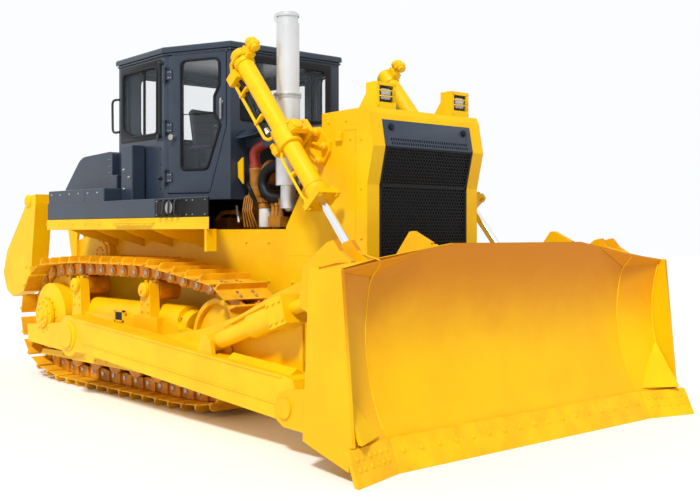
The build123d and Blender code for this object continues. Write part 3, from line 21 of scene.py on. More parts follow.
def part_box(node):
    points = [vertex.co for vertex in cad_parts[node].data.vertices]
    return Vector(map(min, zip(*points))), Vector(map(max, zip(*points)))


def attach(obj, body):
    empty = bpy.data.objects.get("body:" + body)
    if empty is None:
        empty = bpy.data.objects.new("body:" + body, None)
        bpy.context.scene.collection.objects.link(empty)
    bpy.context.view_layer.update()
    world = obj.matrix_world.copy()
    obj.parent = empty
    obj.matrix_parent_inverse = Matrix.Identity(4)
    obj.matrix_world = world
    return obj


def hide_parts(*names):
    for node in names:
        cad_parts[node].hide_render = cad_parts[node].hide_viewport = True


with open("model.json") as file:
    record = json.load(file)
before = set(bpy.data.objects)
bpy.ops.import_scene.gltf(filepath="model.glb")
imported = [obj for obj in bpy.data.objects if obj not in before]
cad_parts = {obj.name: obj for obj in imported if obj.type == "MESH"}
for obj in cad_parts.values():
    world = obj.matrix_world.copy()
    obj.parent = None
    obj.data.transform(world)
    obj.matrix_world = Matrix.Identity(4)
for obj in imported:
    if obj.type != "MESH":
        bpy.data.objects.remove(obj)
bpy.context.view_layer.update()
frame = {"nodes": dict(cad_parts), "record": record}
nodes = frame["nodes"]

# %% [markdown]
# ## Stations
#
# The drawing office measures this machine rearwards from the blade's cutting
# edge. A short helper turns such a station into X, so that numbers read from
# the photograph and numbers of the CAD part are the same numbers.

# %% Stations behind the cutting edge
EDGE_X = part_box("cutting_edge")[1][0]


def st(distance):
    """X of a place this many metres behind the cutting edge."""
    return EDGE_X - distance


print("cutting edge at", round(EDGE_X, 3))

# %% [markdown]
# ## Camera
#
# The photograph was taken level, at eye height, off the machine's right front
# corner. A level camera keeps upright edges parallel. The horizon lies a little
# above the middle of the picture, which a small vertical shift gives without
# tilting the camera.

# %% Camera at the photograph's place
VIEW_TURN = math.radians(48.1)
camera_data = bpy.data.cameras.new("camera")
camera_data.sensor_width = 36.0
camera_data.lens = 52.66
camera_data.shift_y = -0.025
camera_data.clip_end = 200.0
camera = bpy.data.objects.new("camera", camera_data)
camera.location = (EDGE_X + 4.98, -6.48, 1.645)
camera.rotation_euler = (math.radians(90), 0, VIEW_TURN)
bpy.context.scene.collection.objects.link(camera)
bpy.context.scene.camera = camera
bpy.context.scene.view_settings.view_transform = "Standard"
print("camera", [round(v, 2) for v in camera.location])

# %% [markdown]
# ## Floor and light
#
# The photograph is cut out on white. A white floor and a white world give that
# ground and still keep a soft shadow under the tracks. One broad sun stands
# for the daylight that falls on the machine from the camera's side. A short
# helper places a shader node and sets or links its inputs in one call.

# %% One helper for shader nodes
def add_node(tree, kind, values=None, **settings):
    """New shader node whose inputs are set to a value or linked to a socket."""
    node = tree.nodes.new("ShaderNode" + kind)
    for label, value in settings.items():
        setattr(node, label, value)
    for label, value in (values or {}).items():
        if isinstance(value, bpy.types.NodeSocket):
            tree.links.new(value, node.inputs[label])
        else:
            node.inputs[label].default_value = value
    return node


# %% Floor, world and sun
WORLD_LIGHT = 0.46
SUN_LIGHT = 2.85

floor_mesh = bpy.data.meshes.new("floor")
floor_mesh.from_pydata([(-60, -60, 0), (60, -60, 0), (60, 60, 0), (-60, 60, 0)], [], [(0, 1, 2, 3)])
floor = bpy.data.objects.new("floor", floor_mesh)
bpy.context.scene.collection.objects.link(floor)
floor_paint = bpy.data.materials.new("floor_white")
floor_paint.use_nodes = True
floor_shader = floor_paint.node_tree.nodes["Principled BSDF"]
floor_shader.inputs["Base Color"].default_value = (0.97, 0.97, 0.97, 1)
floor_shader.inputs["Roughness"].default_value = 0.9
floor_mesh.materials.append(floor_paint)

world = bpy.data.worlds.new("daylight")
world.use_nodes = True
bpy.context.scene.world = world
sky = world.node_tree
sky_light = sky.nodes["Background"]
sky_light.inputs["Color"].default_value = (0.97, 0.985, 1.0, 1)
rays = add_node(sky, "LightPath")
seen = add_node(sky, "Math", {0: rays.outputs["Is Camera Ray"], 1: rays.outputs["Is Glossy Ray"]},
                operation="MAXIMUM")
seen_glass = add_node(sky, "Math", {0: seen.outputs[0], 1: rays.outputs["Is Transmission Ray"]},
                      operation="MAXIMUM")
level = add_node(sky, "MapRange", {"Value": seen_glass.outputs[0], "To Min": WORLD_LIGHT,
                                   "To Max": 1.0})
sky.links.new(level.outputs["Result"], sky_light.inputs["Strength"])

sun_data = bpy.data.lights.new("sun", "SUN")
sun_data.energy = SUN_LIGHT
sun_data.angle = math.radians(9)
sun_data.color = (1.0, 0.985, 0.95)
sun = bpy.data.objects.new("sun", sun_data)
sun.rotation_euler = (math.radians(42), math.radians(4), math.radians(28))
bpy.context.scene.collection.objects.link(sun)
print("world", WORLD_LIGHT, "sun", SUN_LIGHT)

# %% [markdown]
# ## Shared finishes
#
# Paint on a machine is never one flat colour. Three effects recur: a cloudy
# change of shade, dust that settles on upward faces, and a fine ripple of the
# sprayed coat. Where the upward colour is a lighter tone of the paint itself,
# it is painted top light and not dust. Each is a node group that is built once
# and placed in every material with its own values.

# %% Helper for node groups
def effect_group(name, inputs, outputs):
    """New shader group with named sockets: {name: (kind, default)} and {name: kind}."""
    group = bpy.data.node_groups.new(name, "ShaderNodeTree")
    for label, (kind, value) in inputs.items():
        socket = group.interface.new_socket(label, in_out="INPUT", socket_type=kind)
        if value is not None:
            socket.default_value = value
    for label, kind in outputs.items():
        group.interface.new_socket(label, in_out="OUTPUT", socket_type=kind)
    entry = group.nodes.new("NodeGroupInput")
    leave = group.nodes.new("NodeGroupOutput")
    return group, entry, leave


FLOAT, COLOR = "NodeSocketFloat", "NodeSocketColor"


def add_noise(tree, scale, detail, rough=0.55):
    """Noise on object coordinates: its scale is a value or a socket."""
    place = add_node(tree, "TexCoord")
    return add_node(tree, "TexNoise", {"Vector": place.outputs["Object"], "Scale": scale,
                                       "Detail": detail, "Roughness": rough}).outputs["Fac"]


def stretched(tree, value, low, high, **settings):
    """Value brought from low…high to 0…1."""
    return add_node(tree, "MapRange", {"Value": value, "From Min": low, "From Max": high},
                    **settings).outputs["Result"]


def product(tree, first, second):
    """Two values multiplied."""
    return add_node(tree, "Math", {0: first, 1: second}, operation="MULTIPLY").outputs[0]


def blended(tree, share, first, second):
    """Two colours mixed by a share."""
    mix = add_node(tree, "Mix", {0: share, 6: first, 7: second}, data_type="RGBA")
    return mix.outputs[2]


def world_normal(tree, axis):
    """How far a face looks along one world axis."""
    shape = add_node(tree, "NewGeometry")
    return add_node(tree, "SeparateXYZ", {0: shape.outputs["Normal"]}).outputs[axis]


# %% Shade, dust-and-top-light and ripple groups
def build_shade_group():
    """Cloudy lighter and darker patches in a colour."""
    group, entry, leave = effect_group(
        "cloudy_shade",
        {"Color": (COLOR, (0.5, 0.5, 0.5, 1)), "Deep Color": (COLOR, (0.3, 0.3, 0.3, 1)),
         "Amount": (FLOAT, 0.3), "Scale": (FLOAT, 2.5)},
        {"Color": COLOR, "Mask": FLOAT})
    noise = add_noise(group, entry.outputs["Scale"], 5)
    share = product(group, stretched(group, noise, 0.38, 0.68), entry.outputs["Amount"])
    mixed = blended(group, share, entry.outputs["Color"], entry.outputs["Deep Color"])
    group.links.new(mixed, leave.inputs["Color"])
    group.links.new(share, leave.inputs["Mask"])
    return group


def build_dust_and_top_light_group():
    """Colour on faces that look upward, broken up by noise: settled dust, and painted top light
    where the colour is a lighter tone of the paint.
    """
    group, entry, leave = effect_group(
        "dust_and_top_light_paint",
        {"Color": (COLOR, (0.5, 0.5, 0.5, 1)), "Dust And Top Light Color": (COLOR, (0.6, 0.5, 0.35, 1)),
         "Roughness": (FLOAT, 0.4), "Amount": (FLOAT, 0.3)},
        {"Color": COLOR, "Roughness": FLOAT})
    # Faces that look up take the upward colour: dust on most paints, painted top light on the
    # yellow, grey and track paints.
    upward = stretched(group, world_normal(group, "Z"), 0.25, 1.0)
    patch = stretched(group, add_noise(group, 7.0, 6, 0.65), 0.35, 0.75)
    share = product(group, product(group, upward, patch), entry.outputs["Amount"])
    mixed = blended(group, share, entry.outputs["Color"], entry.outputs["Dust And Top Light Color"])
    rough = add_node(group, "Math", {0: share, 1: 0.5, 2: entry.outputs["Roughness"]},
                     operation="MULTIPLY_ADD")
    group.links.new(mixed, leave.inputs["Color"])
    group.links.new(rough.outputs[0], leave.inputs["Roughness"])
    return group


def build_ripple_group():
    """Height of a sprayed or cast skin: a long wave with a fine grain on it."""
    group, entry, leave = effect_group(
        "skin_ripple",
        {"Wave Scale": (FLOAT, 18.0), "Grain Scale": (FLOAT, 260.0), "Grain": (FLOAT, 0.3)},
        {"Height": FLOAT})
    wave = add_noise(group, entry.outputs["Wave Scale"], 2)
    grain = add_noise(group, entry.outputs["Grain Scale"], 3)
    height = add_node(group, "Math", {0: grain, 1: entry.outputs["Grain"], 2: wave},
                      operation="MULTIPLY_ADD")
    group.links.new(height.outputs[0], leave.inputs["Height"])
    return group


SHADE = build_shade_group()
DUST_AND_TOP_LIGHT = build_dust_and_top_light_group()
RIPPLE = build_ripple_group()
print("groups", [group.name for group in (SHADE, DUST_AND_TOP_LIGHT, RIPPLE)])

# %% [markdown]
# ## Materials
#
# One recipe serves most painted and metal pieces: a colour, a deeper colour
# for its patches, an amount and a colour for upward faces, which are dust and
# on some paints painted top light, gloss, and how strongly the skin ripples.
# The recipe places the three groups and sets every plain value on the shader.

# %% The finish recipe
def set_group(tree, group, values):
    """Place a node group and set its own values."""
    node = tree.nodes.new("ShaderNodeGroup")
    node.node_tree = group
    for label, value in values.items():
        node.inputs[label].default_value = value
    return node


def finish(name, color, deep, shade=0.35, shade_scale=2.5, dust_and_top_light=0.25,
           dust_and_top_light_color=(0.62, 0.53, 0.36), rough=0.35, metal=0.0, coat=0.0, coat_rough=0.1,
           wave=18.0, grain_scale=260.0, grain=0.3, bump=0.1, edge=0.004, spec=0.5):
    """Procedural paint or metal with patches, dust and painted top light on upward faces, and a
    rippled skin.
    """
    material = bpy.data.materials.new(name)
    material.use_nodes = True
    tree = material.node_tree
    shader = tree.nodes["Principled BSDF"]
    clouds = set_group(tree, SHADE, {"Color": (*color, 1), "Deep Color": (*deep, 1),
                                     "Amount": shade, "Scale": shade_scale})
    dust_and_lit_top = set_group(tree, DUST_AND_TOP_LIGHT, {"Dust And Top Light Color": (*dust_and_top_light_color, 1), "Roughness": rough,
                                     "Amount": dust_and_top_light})
    skin = set_group(tree, RIPPLE, {"Wave Scale": wave, "Grain Scale": grain_scale,
                                    "Grain": grain})
    tree.links.new(clouds.outputs["Color"], dust_and_lit_top.inputs["Color"])
    tree.links.new(dust_and_lit_top.outputs["Color"], shader.inputs["Base Color"])
    tree.links.new(dust_and_lit_top.outputs["Roughness"], shader.inputs["Roughness"])
    relief = tree.nodes.new("ShaderNodeBump")
    relief.inputs["Strength"].default_value = bump
    relief.inputs["Distance"].default_value = 0.002
    tree.links.new(skin.outputs["Height"], relief.inputs["Height"])
    if edge:
        rounding = tree.nodes.new("ShaderNodeBevel")
        rounding.samples = 4
        rounding.inputs["Radius"].default_value = edge
        tree.links.new(rounding.outputs["Normal"], relief.inputs["Normal"])
    tree.links.new(relief.outputs["Normal"], shader.inputs["Normal"])
    shader.inputs["Metallic"].default_value = metal
    shader.inputs["Coat Weight"].default_value = coat
    shader.inputs["Coat Roughness"].default_value = coat_rough
    shader.inputs["Specular IOR Level"].default_value = spec
    return material


# %% Paints, metals and trim
# The upward-face colour here is a brighter yellow than the paint: painted top light, not dust.
YELLOW = finish("body_yellow", (0.93, 0.57, 0.001), (0.88, 0.40, 0.001), shade=0.50, dust_and_top_light=0.06,
                dust_and_top_light_color=(0.96, 0.70, 0.10), rough=0.42, spec=0.22, bump=0.12, edge=0.006)
# The upward-face colour here is a lighter blue grey: a painted highlight on faces that look up.
GREY = finish("cab_grey", (0.026, 0.040, 0.066), (0.015, 0.024, 0.042), shade=0.5, dust_and_top_light=0.10,
              dust_and_top_light_color=(0.13, 0.16, 0.22), rough=0.36, coat=0.15, bump=0.1, edge=0.006, spec=0.4)
EDGE_PAINT = finish("edge_yellow", (0.93, 0.54, 0.002), (0.82, 0.36, 0.003), shade=0.6,
                    dust_and_top_light=0.06, shade_scale=5.0, rough=0.5, spec=0.2, bump=0.2)
# The upward-face colour of the links is a bright yellow: painted light on their tops.
TRACK = finish("track_paint", (0.78, 0.33, 0.006), (0.30, 0.09, 0.008), shade=0.8, dust_and_top_light=0.5,
               shade_scale=6.0, dust_and_top_light_color=(0.90, 0.58, 0.10), rough=0.5, bump=0.35, grain=0.6,
               edge=0.003, spec=0.3)
# The upward-face colour of the shoes is a brighter yellow: painted light on their tops.
SHOE = finish("shoe_yellow", (0.88, 0.45, 0.003), (0.52, 0.19, 0.006), shade=0.6, dust_and_top_light=0.35,
              shade_scale=6.0, dust_and_top_light_color=(0.93, 0.62, 0.08), rough=0.5, bump=0.3, grain=0.6,
              edge=0.003, spec=0.25)
ROLLER = finish("roller_paint", (0.76, 0.30, 0.005), (0.34, 0.10, 0.006), shade=0.7, dust_and_top_light=0.2,
                shade_scale=6.0, rough=0.45, bump=0.25, spec=0.35)
ENGINE = finish("engine_orange", (0.50, 0.20, 0.012), (0.20, 0.07, 0.01), shade=0.8, dust_and_top_light=0.2,
                shade_scale=9.0, rough=0.5, bump=0.4, grain=0.7)
BLACK = finish("grille_black", (0.005, 0.006, 0.008), (0.009, 0.010, 0.013), dust_and_top_light=0.05,
               dust_and_top_light_color=(0.05, 0.05, 0.06), rough=0.42, spec=0.22, bump=0.15)
SILVER = finish("stack_silver", (0.72, 0.73, 0.74), (0.55, 0.56, 0.58), shade=0.4, dust_and_top_light=0.1,
                shade_scale=4.0, rough=0.34, metal=0.55, bump=0.06)
CHROME = finish("rod_chrome", (0.86, 0.87, 0.88), (0.72, 0.74, 0.76), shade=0.15, dust_and_top_light=0.0,
                rough=0.09, metal=1.0, bump=0.02, wave=60.0, edge=0.0)
STEEL = finish("bolt_steel", (0.45, 0.44, 0.42), (0.25, 0.22, 0.19), shade=0.5, dust_and_top_light=0.1,
               shade_scale=20.0, rough=0.38, metal=0.9, bump=0.1)
RUBBER = finish("seal_rubber", (0.005, 0.005, 0.006), (0.010, 0.010, 0.010), dust_and_top_light=0.1,
                dust_and_top_light_color=(0.05, 0.05, 0.05), rough=0.5, spec=0.25, bump=0.2, grain=0.6)
TRIM = finish("trim_black", (0.016, 0.016, 0.017), (0.03, 0.03, 0.03), dust_and_top_light=0.15,
              dust_and_top_light_color=(0.10, 0.10, 0.10), rough=0.55, bump=0.3, wave=40.0, grain=0.8)
SEAT = finish("seat_leather", (0.017, 0.016, 0.016), (0.035, 0.032, 0.03), dust_and_top_light=0.1,
              dust_and_top_light_color=(0.09, 0.09, 0.09), rough=0.48, bump=0.35, wave=120.0, grain=0.7)
WHITE = finish("filter_white", (0.78, 0.77, 0.74), (0.55, 0.52, 0.46), shade=0.5, dust_and_top_light=0.3,
               shade_scale=10.0, rough=0.4, bump=0.1)
RED = finish("pipe_red", (0.36, 0.035, 0.014), (0.18, 0.02, 0.01), shade=0.5, dust_and_top_light=0.15,
             shade_scale=8.0, rough=0.42, bump=0.1)


def glass_finish(name, tint, rough, alpha):
    """Pale window glass that shows what lies behind it."""
    material = bpy.data.materials.new(name)
    material.use_nodes = True
    tree = material.node_tree
    shader = tree.nodes["Principled BSDF"]
    film = set_group(tree, SHADE, {"Color": (*tint, 1), "Deep Color": (*[v * 0.8 for v in tint], 1),
                                   "Amount": 0.3, "Scale": 1.4})
    tree.links.new(film.outputs["Color"], shader.inputs["Base Color"])
    shader.inputs["Roughness"].default_value = rough
    shader.inputs["Alpha"].default_value = alpha
    shader.inputs["Coat Weight"].default_value = 0.8
    shader.inputs["Coat Roughness"].default_value = 0.03
    return material


GLASS = glass_finish("window_glass", (0.30, 0.36, 0.42), 0.03, 0.06)
LENS = glass_finish("lamp_lens", (0.85, 0.88, 0.9), 0.08, 0.45)
print("materials", len(bpy.data.materials))

# %% [markdown]
# ## Finishes of the CAD pieces
#
# A CAD piece keeps its mesh and only changes the material in its slots. The
# table says which finish each one gets.

# %% Give every CAD piece its finish
NODE_FINISH = {
    "track_steel": TRACK, "roller_steel": ROLLER, "body_yellow": YELLOW, "cab_grey": GREY,
    "engine_paint": ENGINE, "grille_black": BLACK, "stack_silver": SILVER,
    "window_glass": GLASS, "seat_black": SEAT, "trim_black": TRIM, "edge_steel": EDGE_PAINT,
    "rod_chrome": CHROME,
}
for row in frame["record"]["subparts"]:
    target = nodes[row["node"]]
    paint = NODE_FINISH[row["material_slot"]]
    if not target.material_slots:
        target.data.materials.append(paint)
    for spot in target.material_slots:
        spot.material = paint

# %% [markdown]
# ## Workshop tools
#
# Small pieces are made from a few basic forms: plates cut from an outline,
# blocks, turned bars, bent pipes and bolts. A weldment collects such forms in
# one mesh, which rides on one body. A bevel at the end breaks its sharp edges,
# as real edges are broken.

# %% The weldment
def unit(vector):
    """Vector of length one."""
    vector = np.asarray(vector, float)
    return vector / np.linalg.norm(vector)


def side_axes(direction):
    """Two axes square to a direction."""
    along = unit(direction)
    helper = np.array((0, 0, 1.0)) if abs(along[2]) < 0.9 else np.array((1.0, 0, 0))
    first = unit(np.cross(helper, along))
    return first, np.cross(along, first)


def turning(outline):
    """Twice the area of a flat outline: above zero if it runs anticlockwise."""
    return sum(a[0] * b[1] - b[0] * a[1] for a, b in zip(outline, outline[1:] + outline[:1]))


def ring_around(first, second, sides):
    """Points of a circle of radius one, spanned by two axes."""
    turn = np.linspace(0, 2 * np.pi, sides, endpoint=False)
    return np.outer(np.cos(turn), first) + np.outer(np.sin(turn), second)


class Weldment:
    """Forms that end up in one mesh."""

    def __init__(self):
        self.points = []
        self.faces = []
        self.count = 0

    def add(self, points, faces):
        """Add points and faces that index them."""
        self.points.append(np.asarray(points, float).reshape(-1, 3))
        self.faces.extend([tuple(index + self.count for index in face) for face in faces])
        self.count += len(self.points[-1])
        return self

    def hull(self, base, top, flip=False):
        """Prism between two outlines with the same number of points."""
        size = len(base)
        faces = [tuple(range(size))[::-1], tuple(range(size, 2 * size))]
        faces += [(i, (i + 1) % size, size + (i + 1) % size, size + i) for i in range(size)]
        if flip:
            faces = [face[::-1] for face in faces]
        return self.add(np.vstack([base, top]), faces)

    def block(self, low, high):
        """Box between two corners."""
        (x0, y0, z0), (x1, y1, z1) = np.minimum(low, high), np.maximum(low, high)
        base = [(x0, y0, z0), (x1, y0, z0), (x1, y1, z0), (x0, y1, z0)]
        top = [(x0, y0, z1), (x1, y0, z1), (x1, y1, z1), (x0, y1, z1)]
        return self.hull(base, top)

    def side_plate(self, outline, y0, y1):
        """Plate cut in side view: (x, z) outline between two Y values."""
        y0, y1 = min(y0, y1), max(y0, y1)
        outline = outline if turning(outline) < 0 else outline[::-1]
        return self.hull([(x, y0, z) for x, z in outline], [(x, y1, z) for x, z in outline])

    def plan_plate(self, outline, z0, z1):
        """Plate cut in plan: (x, y) outline between two heights."""
        outline = outline if turning(outline) > 0 else outline[::-1]
        return self.hull([(x, y, z0) for x, y in outline], [(x, y, z1) for x, y in outline])

    def turned(self, start, end, marks, sides=28):
        """Turned bar from start to end: marks are (share of the way, radius)."""
        start, end = np.asarray(start, float), np.asarray(end, float)
        ring = ring_around(*side_axes(end - start), sides)
        return self.loft([start + (end - start) * share + ring * radius for share, radius in marks])

    def loft(self, sections, closed_ends=True, closed_run=False):
        """Skin through outlines with the same number of points; a closed run ends where it began."""
        count, size = len(sections), len(sections[0])
        faces = [(low * size + i, low * size + (i + 1) % size,
                  (low + 1) % count * size + (i + 1) % size, (low + 1) % count * size + i)
                 for low in range(count if closed_run else count - 1) for i in range(size)]
        if closed_ends and not closed_run:
            last = (count - 1) * size
            faces += [tuple(range(size))[::-1], tuple(range(last, last + size))]
        return self.add(np.vstack(sections), faces)

    def bar(self, start, end, radius, sides=28):
        """Plain round bar."""
        return self.turned(start, end, [(0, radius), (1, radius)], sides)

    def bolt(self, spot, out, size=0.018, washer=True):
        """Hexagon head, with its washer, standing on a surface."""
        spot, out = np.asarray(spot, float), unit(out)
        if washer:
            self.bar(spot - out * 0.002, spot + out * size * 0.16, size * 1.25, 16)
        self.bar(spot, spot + out * size * 0.85, size, 6)
        return self

    def pipe(self, route, radius, bend=0.06, sides=14):
        """Bent pipe through corner points, with rounded bends."""
        path = rounded(route, bend)
        path = np.asarray(path)
        heading = np.gradient(path, axis=0)
        heading /= np.linalg.norm(heading, axis=1)[:, None]
        first, _ = side_axes(heading[0])
        rings = []
        for spot, along in zip(path, heading):
            first = unit(first - along * np.dot(first, along))
            rings.append(spot + radius * ring_around(first, np.cross(along, first), sides))
        return self.loft(rings)

    def ring_pipe(self, path, radius, sides=10, squash=1.0, out=(0, 0, 1)):
        """Closed tube along a loop, flattened along the out direction by squash."""
        path = np.asarray(path, float)
        heading = np.roll(path, -1, axis=0) - np.roll(path, 1, axis=0)
        heading /= np.linalg.norm(heading, axis=1)[:, None]
        out = unit(out)
        rings = [spot + radius * ring_around(unit(np.cross(along, out)), squash * out, sides)
                 for spot, along in zip(path, heading)]
        return self.loft(rings, closed_run=True)

    def mirrored(self):
        """The same forms on the other side of the machine."""
        other = Weldment()
        points = np.vstack(self.points) * (1, -1, 1)
        return other.add(points, [face[::-1] for face in self.faces])

    def make(self, name, paint, body, slot=None, bevel=0.003, smooth=40):
        """Turn the forms into one piece that rides on a body."""
        mesh = bpy.data.meshes.new(name)
        mesh.from_pydata(np.vstack(self.points).tolist(), [], self.faces)
        mesh.materials.append(paint)
        mesh.validate()
        piece = bpy.data.objects.new(name, mesh)
        bpy.context.scene.collection.objects.link(piece)
        mesh.shade_smooth()
        if bevel:
            soften = piece.modifiers.new("broken edges", "BEVEL")
            soften.width = bevel
            soften.segments = 2
            soften.limit_method = "ANGLE"
            soften.angle_limit = math.radians(35)
            soften.harden_normals = True
        mesh.set_sharp_from_angle(angle=math.radians(smooth))
        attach(piece, body)
        print(f"{name}: {len(self.faces)} faces on {body}")
        return piece


def rounded_loop(corners, bend):
    """Closed outline whose corners are rounded; bend is one radius or one a corner."""
    corners = [np.asarray(corner, float) for corner in corners]
    bends = [bend] * len(corners) if np.isscalar(bend) else bend
    path = []
    for index, corner in enumerate(corners):
        before, after = corners[index - 1], corners[(index + 1) % len(corners)]
        first, second = unit(before - corner), unit(after - corner)
        angle = math.acos(float(np.clip(np.dot(first, second), -1, 1)))
        room = 0.48 * min(np.linalg.norm(before - corner), np.linalg.norm(after - corner))
        reach = min(bends[index] / math.tan(angle / 2), room)
        start, end = corner + first * reach, corner + second * reach
        for share in np.linspace(0, 1, 6):
            one = start + (corner - start) * share
            two = corner + (end - corner) * share
            path.append(one + (two - one) * share)
    return path


def rounded(route, bend):
    """Points along a route whose corners are rounded to the bend's radius."""
    route = [np.asarray(point, float) for point in route]
    path = [route[0]]
    for before, corner, after in zip(route, route[1:], route[2:]):
        first, second = unit(before - corner), unit(after - corner)
        angle = math.acos(float(np.clip(np.dot(first, second), -1, 1)))
        if angle > math.pi - 0.02:
            path.append(corner)
            continue
        reach = bend / math.tan(angle / 2)
        room = 0.48 * min(np.linalg.norm(before - corner), np.linalg.norm(after - corner))
        reach = min(reach, room)
        start, end = corner + first * reach, corner + second * reach
        for share in np.linspace(0, 1, 7):
            one = start + (corner - start) * share
            two = corner + (end - corner) * share
            path.append(one + (two - one) * share)
    path.append(route[-1])
    return path


class Panel:
    """Flat wall of the machine: u runs along it, z is height, out leaves its face."""

    def __init__(self, start, end):
        self.start = np.array((*start, 0.0))
        along = np.array((end[0] - start[0], end[1] - start[1], 0.0))
        self.width = float(np.linalg.norm(along))
        self.along = along / self.width
        self.out = np.cross(self.along, (0, 0, 1.0))

    def at(self, u, z, out=0.0):
        """Place u along the panel at height z, this far out of its face."""
        return self.start + self.along * u + (0, 0, z) + self.out * out

    def matrix(self, out):
        """Matrix that lays a flat outline (u, z) on the panel."""
        origin = self.start + self.out * out
        columns = np.column_stack([self.along, (0, 0, 1), self.out, origin])
        return Matrix([list(map(float, row)) for row in columns] + [[0, 0, 0, 1]])


def sheet(name, outline, holes, thick, matrix, paint, body, bevel=0.003, both=False):
    """Flat plate with holes and softened edges, cut from closed outlines."""
    curve = bpy.data.curves.new(name, "CURVE")
    curve.dimensions = "2D"
    curve.fill_mode = "BOTH"
    curve.extrude = max(thick / 2 - bevel, 0.0005)
    curve.bevel_depth = bevel
    curve.bevel_resolution = 1
    curve.offset = -bevel
    for path in [outline] + holes:
        spline = curve.splines.new("POLY")
        spline.points.add(len(path) - 1)
        for point, (u, v) in zip(spline.points, path):
            point.co = (float(u), float(v), 0, 1)
        spline.use_cyclic_u = True
    drawn = bpy.data.objects.new(name + "_drawn", curve)
    bpy.context.scene.collection.objects.link(drawn)
    bpy.context.view_layer.update()
    mesh = bpy.data.meshes.new_from_object(drawn)
    bpy.data.objects.remove(drawn)
    mesh.transform(matrix)
    form = bmesh.new()
    form.from_mesh(mesh)
    if both:
        other = form.copy()
        for vertex in other.verts:
            vertex.co.y = -vertex.co.y
        bmesh.ops.reverse_faces(other, faces=other.faces)
        spare = bpy.data.meshes.new(name + "_spare")
        other.to_mesh(spare)
        form.from_mesh(spare)
        bpy.data.meshes.remove(spare)
        other.free()
    bmesh.ops.remove_doubles(form, verts=form.verts, dist=0.00005)
    bmesh.ops.recalc_face_normals(form, faces=form.faces)
    form.to_mesh(mesh)
    form.free()
    mesh.materials.clear()
    mesh.materials.append(paint)
    piece = bpy.data.objects.new(name, mesh)
    bpy.context.scene.collection.objects.link(piece)
    mesh.shade_smooth()
    mesh.set_sharp_from_angle(angle=math.radians(30))
    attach(piece, body)
    print(f"{name}: {len(mesh.polygons)} faces on {body}")
    return piece


# %% [markdown]
# ### Seats for bolts
#
# A bolt has to stand on its surface, and many CAD surfaces lean or curve. A
# straight look from outside finds the face that it meets, and the normal of
# that face turns the bolt. Placing each one by numbers would leave some afloat.

# %% Find a place on a CAD piece
AHEAD_X, OUTSIDE_Y = EDGE_X + 0.8, 2.2  # looks start here, clear of the machine
FACE_TREES = {}


def landing(node, spot, direction):
    """Where a look from a spot meets a CAD piece, and that face's normal."""
    if node not in FACE_TREES:
        mesh, place = nodes[node].data, nodes[node].matrix_world
        FACE_TREES[node] = BVHTree.FromPolygons([place @ vertex.co for vertex in mesh.vertices],
                                                [tuple(face.vertices) for face in mesh.polygons])
    hit, normal, _, _ = FACE_TREES[node].ray_cast(Vector(spot), Vector(direction).normalized())
    return (None, None) if hit is None else (np.array(hit), np.array(normal))


def seat_bolts(form, node, spots, direction, size=0.016, washer=True, dome=False):
    """Bolts, or flat domed heads, on a CAD piece under each spot; returns how many landed."""
    landed = 0
    for spot in spots:
        place, normal = landing(node, spot, direction)
        if place is None:
            continue
        landed += 1
        if dome:
            form.turned(place - normal * 0.002, place + normal * size * 0.45,
                        [(0, size), (0.55, size), (1, size * 0.55)], 14)
        else:
            form.bolt(place, normal, size, washer)
    return landed


def ring_spots(x, z, y, radius, count, start=0.0):
    """Spots on an upright circle, seen from the side."""
    turns = [start + 2 * math.pi * index / count for index in range(count)]
    return [(x + radius * math.cos(turn), y, z + radius * math.sin(turn)) for turn in turns]


def both_sides(form):
    """Add the mirror image of every form."""
    other = form.mirrored()
    return form.add(np.vstack(other.points), other.faces)


print("tools ready")

# %% [markdown]
# ## Track chains
#
# The CAD part carries each chain as one plain ring. On the real machine a chain
# is 41 links that hang on pins: two cranked side plates and a shoe with one
# grouser, held by four bolts. Such a chain could be an array along a curve, but
# an array bends its copies. Placing one rigid link between each pair of pins
# keeps every shoe flat, as it is in the photograph.

# %% Where the chain pins lie
CHAIN = {"pitch_circle": (5.912, 0.712, 0.4956), "rear_carrier": (5.200, 1.088, 0.161),
         "front_carrier": (3.780, 1.088, 0.161), "idler": (2.740, 0.652, 0.4654),
         "front_roller": (3.110, 0.3353, 0.1803), "rear_roller": (5.530, 0.3353, 0.1803)}
SHOE_COUNT = 41
TRACK_Y = 1.07


def chain_pins():
    """Pin centres (x, z) on the taut line around the wheels, seen from the right."""
    wheels = [(st(s), z, r) for s, z, r in CHAIN.values()]
    touch = []
    for (x0, z0, r0), (x1, z1, r1) in zip(wheels, wheels[1:] + wheels[:1]):
        gap = math.hypot(x1 - x0, z1 - z0)
        touch.append(math.atan2(z1 - z0, x1 - x0) + math.acos((r0 - r1) / gap))
    runs = []
    for index, (x0, z0, r0) in enumerate(wheels):
        x1, z1, r1 = wheels[(index + 1) % len(wheels)]
        entry, leave = touch[index - 1], touch[index]
        while leave > entry:
            leave -= 2 * math.pi
        start = (x0 + r0 * math.cos(leave), z0 + r0 * math.sin(leave))
        end = (x1 + r1 * math.cos(leave), z1 + r1 * math.sin(leave))
        runs.append((lambda d, x=x0, z=z0, r=r0, a=entry:
                     (x + r * math.cos(a - d / r), z + r * math.sin(a - d / r)),
                     (entry - leave) * r0))
        runs.append((lambda d, a=start, b=end:
                     tuple(p + (q - p) * d / math.dist(a, b) for p, q in zip(a, b)),
                     math.dist(start, end)))
    total = sum(size for _, size in runs)
    pins = []
    for number in range(SHOE_COUNT):
        rest = total * number / SHOE_COUNT
        for place, size in runs:
            if rest <= size:
                break
            rest -= size
        pins.append(place(rest))
    return pins, total


PINS, CHAIN_LENGTH = chain_pins()
print("chain pitch", round(CHAIN_LENGTH / SHOE_COUNT, 4))

